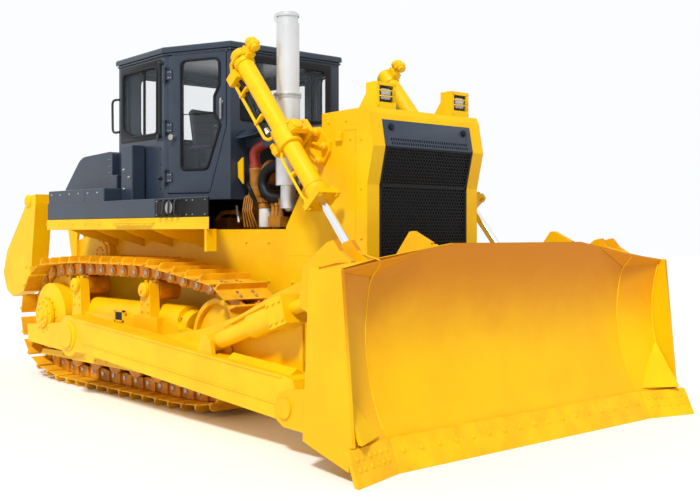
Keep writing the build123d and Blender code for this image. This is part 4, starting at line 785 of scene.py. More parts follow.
# %% [markdown]
# ### One link
#
# The link is drawn in its own plane: u runs from its pin to the next one, v
# points out to the ground side. The side plates step outward half way, so that
# the front end of one link covers the rear end of the next. The shoe's leading
# lip curls over its neighbour, and the ends of the grouser are cut at a slant.

# %% Link, shoe and bolts
def arc_points(u, v, radius, first, last, count=7):
    """Points of an arc, angles in degrees."""
    turns = np.radians(np.linspace(first, last, count))
    return [(u + radius * math.cos(t), v + radius * math.sin(t)) for t in turns]


def chain_forms(middle):
    """All shoes, side plates, pins and bolts of the chain at this Y."""
    shoes, plates, steel = Weldment(), Weldment(), Weldment()
    pitch = CHAIN_LENGTH / SHOE_COUNT
    rear_half = arc_points(0, 0, 0.052, 120, 250) + [(0.028, -0.055), (0.062, -0.055),
                                                     (0.074, -0.043), (0.130, -0.043),
                                                     (0.130, 0.074), (0.014, 0.074)]
    front_half = [(0.100, 0.074), (0.100, -0.043), (0.156, -0.043), (0.168, -0.055),
                  (0.200, -0.055)] + arc_points(pitch, 0, 0.052, -70, 60) + [(0.214, 0.074)]
    low_shoe = [(0.007, 0.074), (0.030, 0.078), (0.205, 0.078), (0.219, 0.086), (0.2225, 0.094),
                (0.214, 0.0965), (0.198, 0.090), (0.076, 0.090), (0.064, 0.097)]
    tip = [(0.0585, 0.155), (0.0425, 0.155)]
    cut_tip = [(0.0600, 0.128), (0.0410, 0.128)]
    root = [(0.037, 0.097), (0.024, 0.090), (0.006, 0.086)]
    for (x0, z0), (x1, z1) in zip(PINS, PINS[1:] + PINS[:1]):
        heading = np.array((x1 - x0, z1 - z0)) / math.dist((x0, z0), (x1, z1))
        outward = np.array((-heading[1], heading[0]))

        def lay(points, y):
            spots = [np.array((x0, z0)) + heading * u + outward * v for u, v in points]
            return [(x, y, z) for x, z in spots]

        for side in (-1, 1):
            for outline, near, far in ((rear_half, 0.061, 0.086), (front_half, 0.084, 0.109)):
                y0, y1 = sorted((middle + side * near, middle + side * far))
                plates.hull(lay(outline, y0), lay(outline, y1), flip=True)
            steel.bar(*[lay([(0, 0)], middle + side * y)[0] for y in (0.106, 0.116)], 0.024, 16)
            for u in (0.112, 0.176):
                spot = lay([(u, 0.090)], middle + side * 0.085)[0]
                steel.bolt(spot, (outward[0], 0, outward[1]), 0.0155, washer=False)
        plates.bar(*[lay([(0, 0)], middle + y)[0] for y in (-0.062, 0.062)], 0.036, 14)
        sections = []
        for y, end in ((-0.28, cut_tip), (-0.255, tip), (0.255, tip), (0.28, cut_tip)):
            sections.append(lay(low_shoe + end + root, middle + y))
        shoes.loft(sections)
    return shoes, plates, steel


for side, name in ((-1, "right"), (1, "left")):
    shoes, plates, steel = chain_forms(side * TRACK_Y)
    chain = shoes.make(f"track_shoes_{name}", SHOE, "machine", bevel=0.002)
    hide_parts(f"track_{name}")
    links = plates.make(f"track_links_{name}", TRACK, "machine", bevel=0.003)
    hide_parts(f"track_{name}")
    pins = steel.make(f"track_pins_{name}", STEEL, "machine", bevel=0)
    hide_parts(f"track_{name}")

# %% [markdown]
# ## Cab sides
#
# The cab is six-sided, so each wall is a flat panel with its own direction. A
# small helper lays outlines on such a panel by distance along it and height.
# The CAD walls have plain square windows. Here each window gets a sheet frame
# with round corners, a rubber seal and a pane, as pressed cab windows have.

# %% The cab's wall panels
FRONT_X, WIDE_X, REAR_X = st(3.200), st(3.950), st(4.970)
DOOR_WALL = Panel((WIDE_X, -0.985), (FRONT_X, -0.700))
SIDE_WALL = Panel((REAR_X, -0.920), (WIDE_X, -0.985))
FRONT_WALL = Panel((FRONT_X, -0.700), (FRONT_X, 0.700))
REAR_WALL = Panel((REAR_X, 0.920), (REAR_X, -0.920))
print("door wall", round(DOOR_WALL.width, 3), "side wall", round(SIDE_WALL.width, 3))


def grown(outline, amount):
    """Outline moved outward from its middle line by about this much."""
    points = np.asarray(outline, float)
    moved = []
    for index, corner in enumerate(points):
        before, after = points[index - 1], points[(index + 1) % len(points)]
        first, second = unit(corner - before), unit(after - corner)
        normal = unit(np.array((first[1], -first[0])) + np.array((second[1], -second[0])))
        stretch = amount / max(0.35, float(np.dot(normal, (first[1], -first[0]))))
        moved.append(corner + normal * stretch)
    return [tuple(point) for point in moved]


def window(name, wall, hole, cover, bends, both=False, body="machine", bars=()):
    """Frame sheet, rubber seal, pane and dividing bars in a wall."""
    inner = rounded_loop(hole, bends)
    frame_piece = sheet(f"{name}_frame", rounded_loop(cover, 0.03), [inner], 0.014,
                        wall.matrix(0.003), RUBBER, body, bevel=0.004, both=both)
    seal = Weldment()
    seal.ring_pipe([wall.at(u, z, 0.009) for u, z in inner], 0.012, 8, 0.8, wall.out)
    for start, end in bars:
        seal.pipe([wall.at(*start, -0.012), wall.at(*end, -0.012)], 0.009, sides=8)
    if both:
        both_sides(seal)
    seal.make(f"{name}_seal", RUBBER, body, bevel=0)
    pane = sheet(f"{name}_pane", rounded_loop(grown(hole, 0.008), bends), [], 0.006,
                 wall.matrix(-0.015), GLASS, body, bevel=0.001, both=both)
    return pane


panes = [
    window("side_window", SIDE_WALL, [(0.115, 2.735), (0.36, 2.655), (0.885, 2.655),
                                      (0.885, 3.345), (0.115, 3.345)],
           [(0.060, 2.610), (0.965, 2.605), (0.965, 3.405), (0.060, 3.405)],
           (0.06, 0.09, 0.05, 0.06, 0.06), both=True,
           bars=[((0.56, 2.655), (0.56, 3.345)), ((0.585, 2.655), (0.585, 3.345))]),
    window("front_window", FRONT_WALL, [(0.185, 2.80), (1.215, 2.80), (1.215, 3.345),
                                        (0.185, 3.345)],
           [(0.115, 2.745), (1.285, 2.745), (1.285, 3.405), (0.115, 3.405)], 0.09),
    window("rear_window", REAR_WALL, [(0.265, 2.70), (1.575, 2.70), (1.575, 3.345),
                                      (0.265, 3.345)],
           [(0.195, 2.625), (1.645, 2.625), (1.645, 3.405), (0.195, 3.405)], 0.08),
]
for pane in panes:
    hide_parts("cab_glass")

# %% [markdown]
# ## Doors
#
# Each door is a leaf with one tall window, which steps in beside the handle and
# narrows with the slanted front corner. The leaf stands a little proud of the
# wall, on three long hinges. It could be one solid with a cut. A cut sheet with
# a softened edge gives the same form, and its round corners stay smooth.

# %% Door leaf, window, hinges and handle
DOOR_EDGE = [(0.055, 2.040), (0.560, 2.040), (0.7523, 2.675), (0.7523, 3.425), (0.055, 3.425)]
DOOR_HOLE = [(0.220, 2.275), (0.535, 2.275), (0.690, 2.700), (0.618, 2.820), (0.618, 2.985),
             (0.678, 3.095), (0.678, 3.356), (0.216, 3.356)]
DOOR_BENDS = (0.05, 0.06, 0.05, 0.06, 0.06, 0.05, 0.07, 0.06)
HINGES = (2.200, 2.700, 3.230)


def door_forms():
    """Seal, hinges and handle of the right-hand door, by finish."""
    rubber, grey, steel = Weldment(), Weldment(), Weldment()
    hole = rounded_loop(DOOR_HOLE, DOOR_BENDS)
    rubber.ring_pipe([DOOR_WALL.at(u, z, 0.011) for u, z in hole], 0.013, 8, 0.8, DOOR_WALL.out)
    rubber.pipe([DOOR_WALL.at(0.217, 2.826, -0.008), DOOR_WALL.at(0.618, 2.826, -0.008)], 0.005,
                sides=8)
    for z in HINGES:
        grey.bar(DOOR_WALL.at(0.022, z - 0.05, 0.022), DOOR_WALL.at(0.022, z + 0.05, 0.022),
                 0.0165, 18)
        corners = [(0.024, z - 0.048), (0.110, z - 0.048), (0.110, z + 0.048), (0.024, z + 0.048)]
        grey.hull([DOOR_WALL.at(*corner, 0.006) for corner in corners],
                  [DOOR_WALL.at(*corner, 0.016) for corner in corners])
        for u in (0.066, 0.094):
            for lift in (-0.028, 0.028):
                steel.bolt(DOOR_WALL.at(u, z + lift, 0.016), DOOR_WALL.out, 0.007, washer=False)
    grip = [DOOR_WALL.at(0.705, z, out) for z, out in
            ((2.760, 0.006), (2.760, 0.030), (2.955, 0.030), (2.955, 0.006))]
    steel.pipe(grip, 0.011, 0.02, 10)
    steel.bar(DOOR_WALL.at(0.705, 2.925, 0.004), DOOR_WALL.at(0.705, 2.925, 0.022), 0.022, 20)
    for z, size in ((2.60, 0.030), (2.595, 0.018)):
        steel.bar(DOOR_WALL.at(0.125, z, 0.004), DOOR_WALL.at(0.125, z, 0.03 + size), size, 20)
    return rubber, grey, steel


for side, name in ((-1, "right"), (1, "left")):
    body = f"door_{name}"
    leaf = sheet(f"door_leaf_{name}", rounded_loop(DOOR_EDGE, 0.022),
                 [rounded_loop(DOOR_HOLE, DOOR_BENDS)], 0.050, DOOR_WALL.matrix(-0.017), GREY,
                 body, bevel=0.006)
    pane = sheet(f"door_pane_{name}", rounded_loop(grown(DOOR_HOLE, 0.004), DOOR_BENDS), [],
                 0.006, DOOR_WALL.matrix(-0.015), GLASS, body, bevel=0.001)
    forms = door_forms()
    if side > 0:
        for piece in (leaf, pane):
            piece.data.transform(Matrix.Scale(-1, 4, (0, 1, 0)))
            piece.data.flip_normals()
        forms = [form.mirrored() for form in forms]
    seal = forms[0].make(f"door_seal_{name}", RUBBER, body, bevel=0)
    hinges = forms[1].make(f"door_hinges_{name}", GREY, body, bevel=0.002)
    latch = forms[2].make(f"door_latch_{name}", STEEL, body, bevel=0.001)
    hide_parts(f"cab_door_{name}")
    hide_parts(f"door_glass_{name}")
    for piece in (seal, hinges, latch):
        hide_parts(f"cab_door_{name}")

# %% [markdown]
# ## Grille
#
# The grille is one bent sheet: a slate panel with two rows of short slots above
# two facets of black perforated plate. The holes stand in a staggered pattern,
# so the plate is built as a honeycomb whose cells each carry one round hole.
# A texture of holes would be quicker, but it would stay flat at the edge of
# each hole. A dark core behind it stops the view through the engine bay.

# %% Perforated facets, slate panel and core
GRILLE_HALF = 0.5495
GRILLE_LINE = [(1.234, 2.600), (1.189, 2.372), (1.264, 2.050), (1.264, 1.236)]
HOLE_PITCH = 0.034


def facet_frame(top, low):
    """Centre line of one facet: its upper end, its downward direction and its outward one."""
    start = np.array((st(top[0]), 0.0, top[1]))
    run = np.array((st(low[0]), 0.0, low[1])) - start
    length = float(np.linalg.norm(run))
    down = run / length
    out = np.array((-down[2], 0.0, down[0]))
    return start, down, out, length


def perforated(form, top, low):
    """Honeycomb of round holes over one facet."""
    start, down, out, length = facet_frame(top, low)
    row_step = HOLE_PITCH * math.sqrt(3) / 2
    rows = int((length - 0.02) / row_step)
    across = int((2 * GRILLE_HALF - 0.03) / HOLE_PITCH)
    cell = HOLE_PITCH / math.sqrt(3)
    hole = HOLE_PITCH * 0.41
    margin = (length - rows * row_step) / 2
    turn = np.radians(np.arange(30, 390, 30))
    reach = np.where(np.arange(12) % 2 == 0, cell, cell * math.cos(math.radians(30)))
    for row in range(rows + 1):
        shift = (row % 2) * HOLE_PITCH / 2
        for index in range(across):
            y = (index - (across - 1) / 2) * HOLE_PITCH + shift - HOLE_PITCH / 4
            spot = start + down * (margin + row * row_step) + np.array((0, y, 0))
            flat = np.outer(np.cos(turn), (0, 1, 0)) + np.outer(np.sin(turn), down)
            rim = spot + flat * reach[:, None]
            lip = spot + flat * hole
            deep = lip - out * 0.008
            faces = [(i, 12 + i, 12 + (i + 1) % 12, (i + 1) % 12) for i in range(12)]
            faces += [(12 + i, 24 + i, 24 + (i + 1) % 12, 12 + (i + 1) % 12) for i in range(12)]
            form.add(np.vstack([rim, lip, deep]), faces)


def border(form, top, low, width=0.026):
    """Flat strip around one facet, slightly proud of its holes."""
    start, down, out, length = facet_frame(top, low)
    half = GRILLE_HALF
    for y0, y1, d0, d1 in ((-half, -half + width, 0, length), (half - width, half, 0, length),
                           (-half, half, 0, width * 0.6),
                           (-half, half, length - width * 0.6, length)):
        base = [start + down * d + (0, y, 0) for y, d in ((y0, d0), (y1, d0), (y1, d1), (y0, d1))]
        form.hull([spot - out * 0.012 for spot in base], [spot + out * 0.003 for spot in base])


mesh_form = Weldment()
rim_form = Weldment()
for top, low in zip(GRILLE_LINE[1:], GRILLE_LINE[2:]):
    perforated(mesh_form, top, low)
    border(rim_form, top, low)
grille_mesh = mesh_form.make("grille_mesh", BLACK, "machine", bevel=0, smooth=30)
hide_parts("radiator_grille")
grille_rim = rim_form.make("grille_rim", BLACK, "machine", bevel=0.002)
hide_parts("radiator_grille")

start, down, out, length = facet_frame(GRILLE_LINE[0], GRILLE_LINE[1])
SLOTS = 34
slots = []
for row in range(2):
    for index in range(SLOTS):
        y = (index - (SLOTS - 1) / 2) * 0.0285 + row * 0.006
        d = length - 0.062 + row * 0.034
        slots.append([(y - 0.008, -d - 0.011), (y + 0.008, -d - 0.011), (y + 0.008, -d + 0.011),
                      (y - 0.008, -d + 0.011)])
lay = Matrix([[0, -down[0], out[0], start[0]], [1, 0, 0, 0], [0, -down[2], out[2], start[2]],
              [0, 0, 0, 1]])
panel_edge = [(-GRILLE_HALF, -length), (GRILLE_HALF, -length), (GRILLE_HALF, 0), (-GRILLE_HALF, 0)]
slate = sheet("grille_slate", panel_edge, slots, 0.012, lay, GREY, "machine", bevel=0.002)
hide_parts("radiator_grille")
caps = Weldment()
for y in (-0.455, 0.455):
    spot = start + down * 0.062 + np.array((0, y, 0)) + out * 0.004
    caps.turned(spot, spot + out * 0.024, [(0, 0.030), (0.7, 0.030), (1, 0.018)], 20)
caps.make("grille_bolts", BLACK, "machine", bevel=0.001)
core = Weldment()
core.side_plate([(st(1.292), 1.240), (st(1.292), 2.054), (st(1.218), 2.373), (st(1.262), 2.590),
                 (st(1.600), 2.590), (st(1.600), 1.240)], -0.547, 0.547)
core.make("radiator_core", RUBBER, "machine", slot="grille_black", bevel=0)

# %% [markdown]
# ## Head lamps
#
# Each lamp sits deep in its yellow guard: a black rounded body, a pale lens
# with upright ribs, and two wires across the front that keep branches off it.

# %% Lamp bodies, lenses and wires
body_form, lens_form, wire_form = Weldment(), Weldment(), Weldment()
for side in (-1, 1):
    middle, height = side * 0.4625, 2.822
    ring = rounded_loop([(-0.072, -0.060), (0.072, -0.060), (0.072, 0.060), (-0.072, 0.060)], 0.022)
    sections = []
    for x, grow in ((st(1.338), 0.92), (st(1.272), 1.0), (st(1.268), 0.90), (st(1.282), 0.80)):
        sections.append([(x, middle + y * grow, height + z * grow) for y, z in ring])
    body_form.loft(sections)
    sections = [[(st(x), middle + y * grow, height + z * grow) for y, z in ring]
                for x, grow in ((1.284, 0.79), (1.272, 0.77), (1.266, 0.60))]
    lens_form.loft(sections)
    for offset in np.linspace(-0.045, 0.045, 9):
        lens_form.bar((st(1.2665), middle + offset, height - 0.034),
                      (st(1.2665), middle + offset, height + 0.034), 0.0022, 6)
    for z in (height - 0.022, height + 0.026):
        wire_form.pipe([(st(1.264), middle - 0.095, z), (st(1.246), middle - 0.080, z),
                        (st(1.246), middle + 0.080, z), (st(1.264), middle + 0.095, z)],
                       0.0055, 0.012, 8)
    for y in (middle - 0.098, middle + 0.098):
        for z in (height - 0.098, height + 0.084):
            wire_form.bolt((st(1.262), y, z), (1, 0, 0), 0.007, washer=False)
body_form.make("lamp_bodies", TRIM, "machine", bevel=0)
lens_form.make("lamp_lenses", LENS, "machine", slot="window_glass", bevel=0)
wire_form.make("lamp_wires", YELLOW, "machine", bevel=0)

# %% [markdown]
# ### Nose sheet
#
# The cheeks carry a thin upright seam, a few cover bolts and a lifting eye on
# each side. They are small, but they show how large the plain yellow sheet is.

# %% Seams, cover bolts and lifting eyes
nose = Weldment()
for side in (-1, 1):
    y, seam_low, seam_top = side * 0.690, side * 0.6895, side * 0.692
    nose.block((st(1.405), seam_low, 1.30), (st(1.398), seam_top, 2.52))
    nose.block((st(1.560), seam_low, 2.515), (st(1.398), seam_top, 2.522))
    for s, z in ((1.66, 2.52), (1.47, 2.44), (1.33, 2.43), (1.52, 2.60), (1.75, 2.60),
                 (1.33, 1.60), (1.33, 2.02), (1.50, 1.52)):
        nose.bolt((st(s), y, z), (0, side, 0), 0.010)
    eye = [(st(1.600) + dx, 2.475 + dz) for dx, dz in
           ((-0.040, -0.045), (0.040, -0.045), (0.040, 0.020), (0.018, 0.050), (-0.018, 0.050),
            (-0.040, 0.020))]
    nose.side_plate(eye, side * 0.690, side * 0.722)
nose.make("nose_fittings", YELLOW, "machine", bevel=0.002)

# %% [markdown]
# ## Lift cylinders
#
# Both cylinders hang in turning forks on the nose. Oil reaches them through a
# steel pipe along the barrel and a short rubber hose, so that the barrel can
# swing. All of it is placed along the barrel's own axis: how far along, how far
# across, and how far above it.

# %% Places on the right-hand barrel
YOKE = np.array((st(2.030), 0.0, 2.470))
ROD_EYE = np.array((st(0.750), 0.0, 0.980))
ALONG = unit(ROD_EYE - YOKE)
ABOVE = np.array((-ALONG[2], 0.0, ALONG[0]))
LIFT_Y = 0.930


def on_barrel(along, across, above):
    """Place measured from the yoke: across is outward from the barrel's middle."""
    return YOKE + ALONG * along + ABOVE * above + np.array((0, -LIFT_Y - across, 0))


def barrel_forms():
    """Pipes, hose, fittings and bolts of the right-hand barrel, by finish."""
    paint, rubber, steel = Weldment(), Weldment(), Weldment()
    for turn in range(4):
        angle = math.radians(45 + 90 * turn)
        spot = on_barrel(0.745, 0.125 * math.cos(angle), 0.125 * math.sin(angle))
        paint.bar(spot, spot + ALONG * 0.006, 0.030, 18)
        paint.bolt(spot, ALONG, 0.021)
        paint.bar(spot - ALONG * 0.060, spot - ALONG * 0.090, 0.020, 6)
    for along, radius, width in ((0.560, 0.089, 0.02), (-0.090, 0.112, 0.014),
                                 (0.090, 0.112, 0.014), (-0.960, 0.098, 0.03)):
        paint.turned(on_barrel(along - width, 0, 0), on_barrel(along + width, 0, 0),
                     [(0, radius - 0.006), (0.2, radius), (0.8, radius), (1, radius - 0.006)], 36)
    paint.turned(on_barrel(-1.070, 0, 0), on_barrel(-1.110, 0, 0),
                 [(0, 0.093), (0.5, 0.080), (1, 0.045)], 32)
    head = on_barrel(-1.000, 0, 0.138)
    paint.turned(head - ABOVE * 0.01, head + ABOVE * 0.050,
                 [(0, 0.044), (0.7, 0.040), (1, 0.030)], 20)
    for back, rise, size in ((0.020, 0.050, 0.050), (-0.030, 0.075, 0.044)):
        middle = head - ALONG * back + ABOVE * rise
        paint.turned(middle - ALONG * size, middle + ALONG * size,
                     [(0, size * 0.8), (0.12, size), (0.42, size), (0.5, size * 0.8), (0.58, size),
                      (0.9, size), (1, size * 0.75)], 10)
        paint.turned(middle, middle + ABOVE * size * 1.35,
                     [(0, size * 0.7), (0.8, size * 0.7), (1, size * 0.4)], 8)
    paint.pipe([on_barrel(-0.995, 0.045, 0.080), on_barrel(-0.995, 0.098, 0.080),
                on_barrel(-0.995, 0.098, -0.060), on_barrel(-0.900, 0.060, -0.180)], 0.017, 0.04, 12)
    for spot in (on_barrel(-0.985, 0.046, 0.105), on_barrel(-0.945, 0.046, 0.065)):
        paint.bolt(spot, (0, -1, 0), 0.014)
    paint.pipe([on_barrel(-0.905, 0.060, -0.175), on_barrel(-0.860, 0.050, -0.185),
                on_barrel(-0.180, 0.050, -0.185), on_barrel(-0.120, 0.050, -0.150),
                on_barrel(-0.120, 0.020, -0.100)], 0.015, 0.05, 12)
    lug = ((-0.95, 0), (-0.85, 0), (-0.85, 0.10), (-0.95, 0.10))
    paint.hull(*[[on_barrel(along, across, above) for along, across in lug]
                 for above in (-0.205, -0.070)])
    paint.pipe([on_barrel(0.110, 0.070, -0.070), on_barrel(0.160, 0.075, -0.105),
                on_barrel(0.600, 0.075, -0.105), on_barrel(0.700, 0.055, -0.080)], 0.013, 0.05, 12)
    for along in (-0.70, -0.35, 0.35):
        low = -0.190 if along < 0 else -0.110
        strap = ((-0.012, 0.030), (-0.012, 0.075), (0.012, 0.075), (0.012, 0.030))
        paint.hull(*[[on_barrel(along + shift, across, above) for shift, across in strap]
                     for above in (low, -0.060)])
    rubber.pipe([on_barrel(-0.860, 0.030, -0.120), on_barrel(-0.700, 0.034, -0.118),
                 on_barrel(-0.480, 0.034, -0.150), on_barrel(-0.300, 0.034, -0.158),
                 on_barrel(-0.200, 0.030, -0.130)], 0.017, 0.30, 14)
    for along, above in ((-0.890, -0.118), (-0.215, -0.132)):
        steel.turned(on_barrel(along - 0.028, 0.031, above), on_barrel(along + 0.035, 0.031, above),
                     [(0, 0.020), (0.45, 0.020), (0.46, 0.024), (0.8, 0.024), (1, 0.019)], 16)
    return paint, rubber, steel


def yoke_forms():
    """Bolts of the right-hand fork and its bearing."""
    fork, bearing = Weldment(), Weldment()
    for side in (-1, 1):
        spot = on_barrel(0, 0, side * 0.178)
        fork.turned(spot, spot + ABOVE * side * 0.022, [(0, 0.052), (0.6, 0.052), (1, 0.040)], 24)
        for along in (-0.038, 0.038):
            fork.bolt(on_barrel(along, -0.085, side * 0.178), ABOVE * side, 0.014)
        fork.bolt(on_barrel(0.045, 0.055, side * 0.150), (0, -1, 0), 0.013)
        fork.bolt(on_barrel(-0.045, 0.055, side * 0.150), (0, -1, 0), 0.013)
    for s, z in ((1.857, 2.526), (1.753, 2.396), (1.821, 2.274)):
        spot = np.array((st(s), -0.7563, z))
        bearing.turned(spot, spot + (0, -0.014, 0), [(0, 0.034), (0.5, 0.034), (1, 0.024)], 20)
        bearing.bolt(spot + (0, -0.012, 0), (0, -1, 0), 0.019, washer=False)
    return fork, bearing


paint, rubber, steel = barrel_forms()
fork, bearing = yoke_forms()
for name, turn in (("right", lambda form: form), ("left", lambda form: form.mirrored())):
    body = f"lift_barrel_{name}"
    turn(paint).make(f"lift_pipes_{name}", YELLOW, body, bevel=0.0015)
    turn(rubber).make(f"lift_hose_{name}", RUBBER, body, slot="trim_black", bevel=0)
    turn(steel).make(f"lift_fittings_{name}", CHROME, body, slot="rod_chrome", bevel=0)
    turn(fork).make(f"lift_fork_bolts_{name}", YELLOW, body, bevel=0.0015)
    turn(bearing).make(f"lift_bearing_bolts_{name}", YELLOW, "machine", bevel=0.0015)

# %% [markdown]
# ## Engine bay
#
# The bay is open on both sides, so the engine shows between deck and hood. The
# CAD engine is one block. Here it gets what the eye looks for: a red charge
# pipe, a black hose, a white oil filter with its orange head, fuel lines, a
# turbocharger, rocker covers with bolts and a gear housing behind it.

# %% Charge pipe, turbocharger and hoses
BLOCK_HALF = 0.290
PIPE_Y = -0.50           # middle of the upright pipes, outside the block
ELBOW_X, ELBOW_Z = st(3.060), 2.285
CHARGE_RADIUS = 0.052
TURBO_Y, TURBO_Z = -0.40, 2.260
orange, rubber, red, white, steel = (Weldment() for _ in range(5))
red.pipe([(ELBOW_X, PIPE_Y, ELBOW_Z), (st(3.095), PIPE_Y, 2.450), (st(2.930), -0.47, 2.520),
          (st(2.800), -0.30, 2.510), (st(2.700), -0.05, 2.400)], CHARGE_RADIUS, 0.11, 18)
red.turned((st(3.062), PIPE_Y, 2.275), (st(3.066), PIPE_Y, 2.315), [(0, 0.060), (1, 0.060)], 24)
orange.turned((ELBOW_X, PIPE_Y, 2.290), (ELBOW_X, PIPE_Y, 1.960),
              [(0, 0.050), (0.08, 0.066), (0.22, 0.058), (0.60, 0.060), (0.62, 0.072), (0.8, 0.070),
               (1, 0.050)], 24)
orange.turned((st(2.955), -0.43, 2.235), (st(2.835), -0.43, 2.235),
              [(0, 0.050), (0.2, 0.105), (0.5, 0.120), (0.8, 0.105), (1, 0.055)], 28)
orange.turned((st(2.640), TURBO_Y, TURBO_Z), (st(2.480), TURBO_Y, TURBO_Z),
              [(0, 0.060), (0.15, 0.130), (0.5, 0.150), (0.85, 0.125), (1, 0.070)], 32)
orange.pipe([(st(2.480), TURBO_Y, TURBO_Z), (st(2.420), TURBO_Y, TURBO_Z),
             (st(2.380), -0.52, 2.180)], 0.060, 0.08, 18)
rubber.pipe([(st(2.700), PIPE_Y, 2.290), (st(2.830), -0.55, 2.240), (st(2.880), -0.56, 2.110),
             (st(2.790), -0.56, 1.985), (st(2.620), -0.47, 1.960)], CHARGE_RADIUS, 0.13, 18)
rubber.pipe([(st(3.140), -0.47, 2.020), (st(3.120), -0.56, 2.140), (st(3.030), -0.60, 2.080),
             (st(2.990), -0.55, 1.940)], 0.020, 0.08, 12)

# %% Oil filter, fuel lines and pumps
FILTER_X, FILTER_LOW, FILTER_TOP = st(2.905), 1.690, 1.885
FUEL_LINES, LINE_STEP = 5, 0.034
PUMP_Y, PUMP_TOP = -0.52, 1.975
white.turned((FILTER_X, PIPE_Y, FILTER_LOW), (FILTER_X, PIPE_Y, FILTER_TOP),
             [(0, 0.040), (0.06, 0.060), (0.12, 0.062), (0.90, 0.062), (1, 0.058)], 32)
white.pipe([(st(3.350), -0.52, 1.915), (st(3.270), -0.55, 1.750)], 0.011, sides=10)
orange.turned((FILTER_X, PIPE_Y, FILTER_TOP), (FILTER_X, PIPE_Y, FILTER_TOP + 0.080),
              [(0, 0.066), (0.5, 0.066), (0.6, 0.040), (1, 0.036)], 24)
orange.block((st(3.010), -0.545, 1.940), (st(2.820), -0.300, 1.985))
for index in range(FUEL_LINES):
    x = st(3.155 - LINE_STEP * index)
    orange.pipe([(x, -0.560 + 0.012 * index, 1.700), (x, -0.585, 1.860), (x - 0.02, -0.545, 2.000),
                 (x + 0.05, -0.400, 2.060), (x + 0.05, -0.280, 2.060)], 0.0085, 0.05, 8)
for index in range(3):
    x = st(2.640 + 0.058 * index)
    orange.turned((x, PUMP_Y, 1.790), (x, PUMP_Y, PUMP_TOP),
                  [(0, 0.028), (0.3, 0.028), (0.32, 0.020), (0.6, 0.020), (0.62, 0.026),
                   (1, 0.022)], 14)
    steel.bolt((x, PUMP_Y, PUMP_TOP), (0, 0, 1), 0.013, washer=False)
orange.block((st(2.780), -0.565, 1.700), (st(2.590), -BLOCK_HALF, 1.800))

# %% Rocker covers, block bolts and gear housing
ROCKER_TOP, ROCKERS, ROCKER_PITCH = 2.108, 5, 0.200
GEAR_X, CRANK_Z, GEAR_BOLTS, GEAR_RING = st(3.345), 1.560, 14, 0.345
for x in [st(2.240 + ROCKER_PITCH * index) for index in range(ROCKERS)]:
    orange.turned((x, 0, ROCKER_TOP), (x, 0, ROCKER_TOP + 0.020), [(0, 0.072), (1, 0.060)], 8)
    for dx in (-0.068, 0.068):
        for y in (-0.125, 0.125):
            steel.bolt((x + dx, y, ROCKER_TOP + 0.002), (0, 0, 1), 0.012)
    for side in (-1, 1):
        orange.pipe([(x, side * 0.150, 2.030), (x, side * 0.260, 2.040), (x, side * 0.335, 1.950)],
                    0.034, 0.07, 14)
for side in (-1, 1):
    for index in range(8):
        x = st(2.200 + 0.150 * index)
        for z in (1.900, CRANK_Z):
            steel.bolt((x, side * BLOCK_HALF, z), (0, side, 0), 0.013)
    for index in range(7):
        x = st(2.240 + 0.165 * index)
        orange.block((x - 0.010, side * BLOCK_HALF, 1.500), (x + 0.010, side * 0.304, 1.870))
orange.turned((GEAR_X, 0, CRANK_Z), (st(3.640), 0, CRANK_Z),
              [(0, 0.37), (0.2, 0.37), (1, 0.27)], 36)
for turn in range(GEAR_BOLTS):
    angle = 2 * math.pi * turn / GEAR_BOLTS
    steel.bolt((st(3.372), GEAR_RING * math.cos(angle), CRANK_Z + GEAR_RING * math.sin(angle)),
               (1, 0, 0), 0.014)
orange.block((st(3.900), -0.42, 1.300), (st(3.640), 0.42, 1.800))
for y in (-0.45, -0.30, -0.15):
    orange.pipe([(st(3.800), y, 1.790), (st(3.700), y, 1.850), (st(3.420), y - 0.02, 1.860),
                 (st(3.340), y, 1.780)], 0.022, 0.08, 12)

# %% Make the engine's pieces
near_plate = [(st(3.190), 2.330), (st(3.110), 2.380), (st(3.105), 2.120), (st(3.180), 2.190)]
cover = Weldment().side_plate(near_plate, -0.625, -0.605)
cover.make("bay_cover_plate", YELLOW, "machine", bevel=0.002)
orange.make("engine_castings", ENGINE, "machine", bevel=0.003)
rubber.make("engine_hoses", RUBBER, "machine", slot="trim_black", bevel=0)
red.make("charge_pipe", RED, "machine", slot="engine_paint", bevel=0)
white.make("oil_filter", WHITE, "machine", slot="stack_silver", bevel=0)
steel.make("engine_bolts", STEEL, "machine", slot="rod_chrome", bevel=0)

# %% [markdown]
# ### Hood flap and stack ring
#
# A grey flap hangs from the hood's edge beside the cab. The stack gets the
# clamp that joins its two tubes, closed by one bolt.

# %% Flap and stack clamp
flap = Weldment()
sections = []
for s, droop, reach in ((2.870, 0.000, 0.008), (2.960, 0.055, 0.075), (3.080, 0.080, 0.125),
                        (3.185, 0.085, 0.140)):
    sections.append([(st(s), -0.505, 2.668), (st(s), -0.515 - reach, 2.660 - droop),
                     (st(s), -0.515 - reach, 2.648 - droop), (st(s), -0.505, 2.600 - 0.3 * droop)])
flap.loft(sections)
flap.make("hood_flap", GREY, "machine", bevel=0.004, smooth=60)
clamp = Weldment()
stack_x, stack_y, clamp_low, clamp_top = st(2.380), -0.640, 2.885, 2.915
clamp.turned((stack_x, stack_y, clamp_low), (stack_x, stack_y, clamp_top),
             [(0, 0.116), (0.15, 0.1235), (0.85, 0.1235), (1, 0.110)], 40)
clamp.bar((stack_x + 0.05, stack_y - 0.140, 2.900), (stack_x - 0.03, stack_y - 0.140, 2.900),
          0.008, 10)
clamp.block((stack_x - 0.015, stack_y - 0.150, clamp_low),
            (stack_x + 0.030, stack_y - 0.105, clamp_top))
clamp.make("stack_clamp", STEEL, "machine", slot="stack_silver", bevel=0.001)

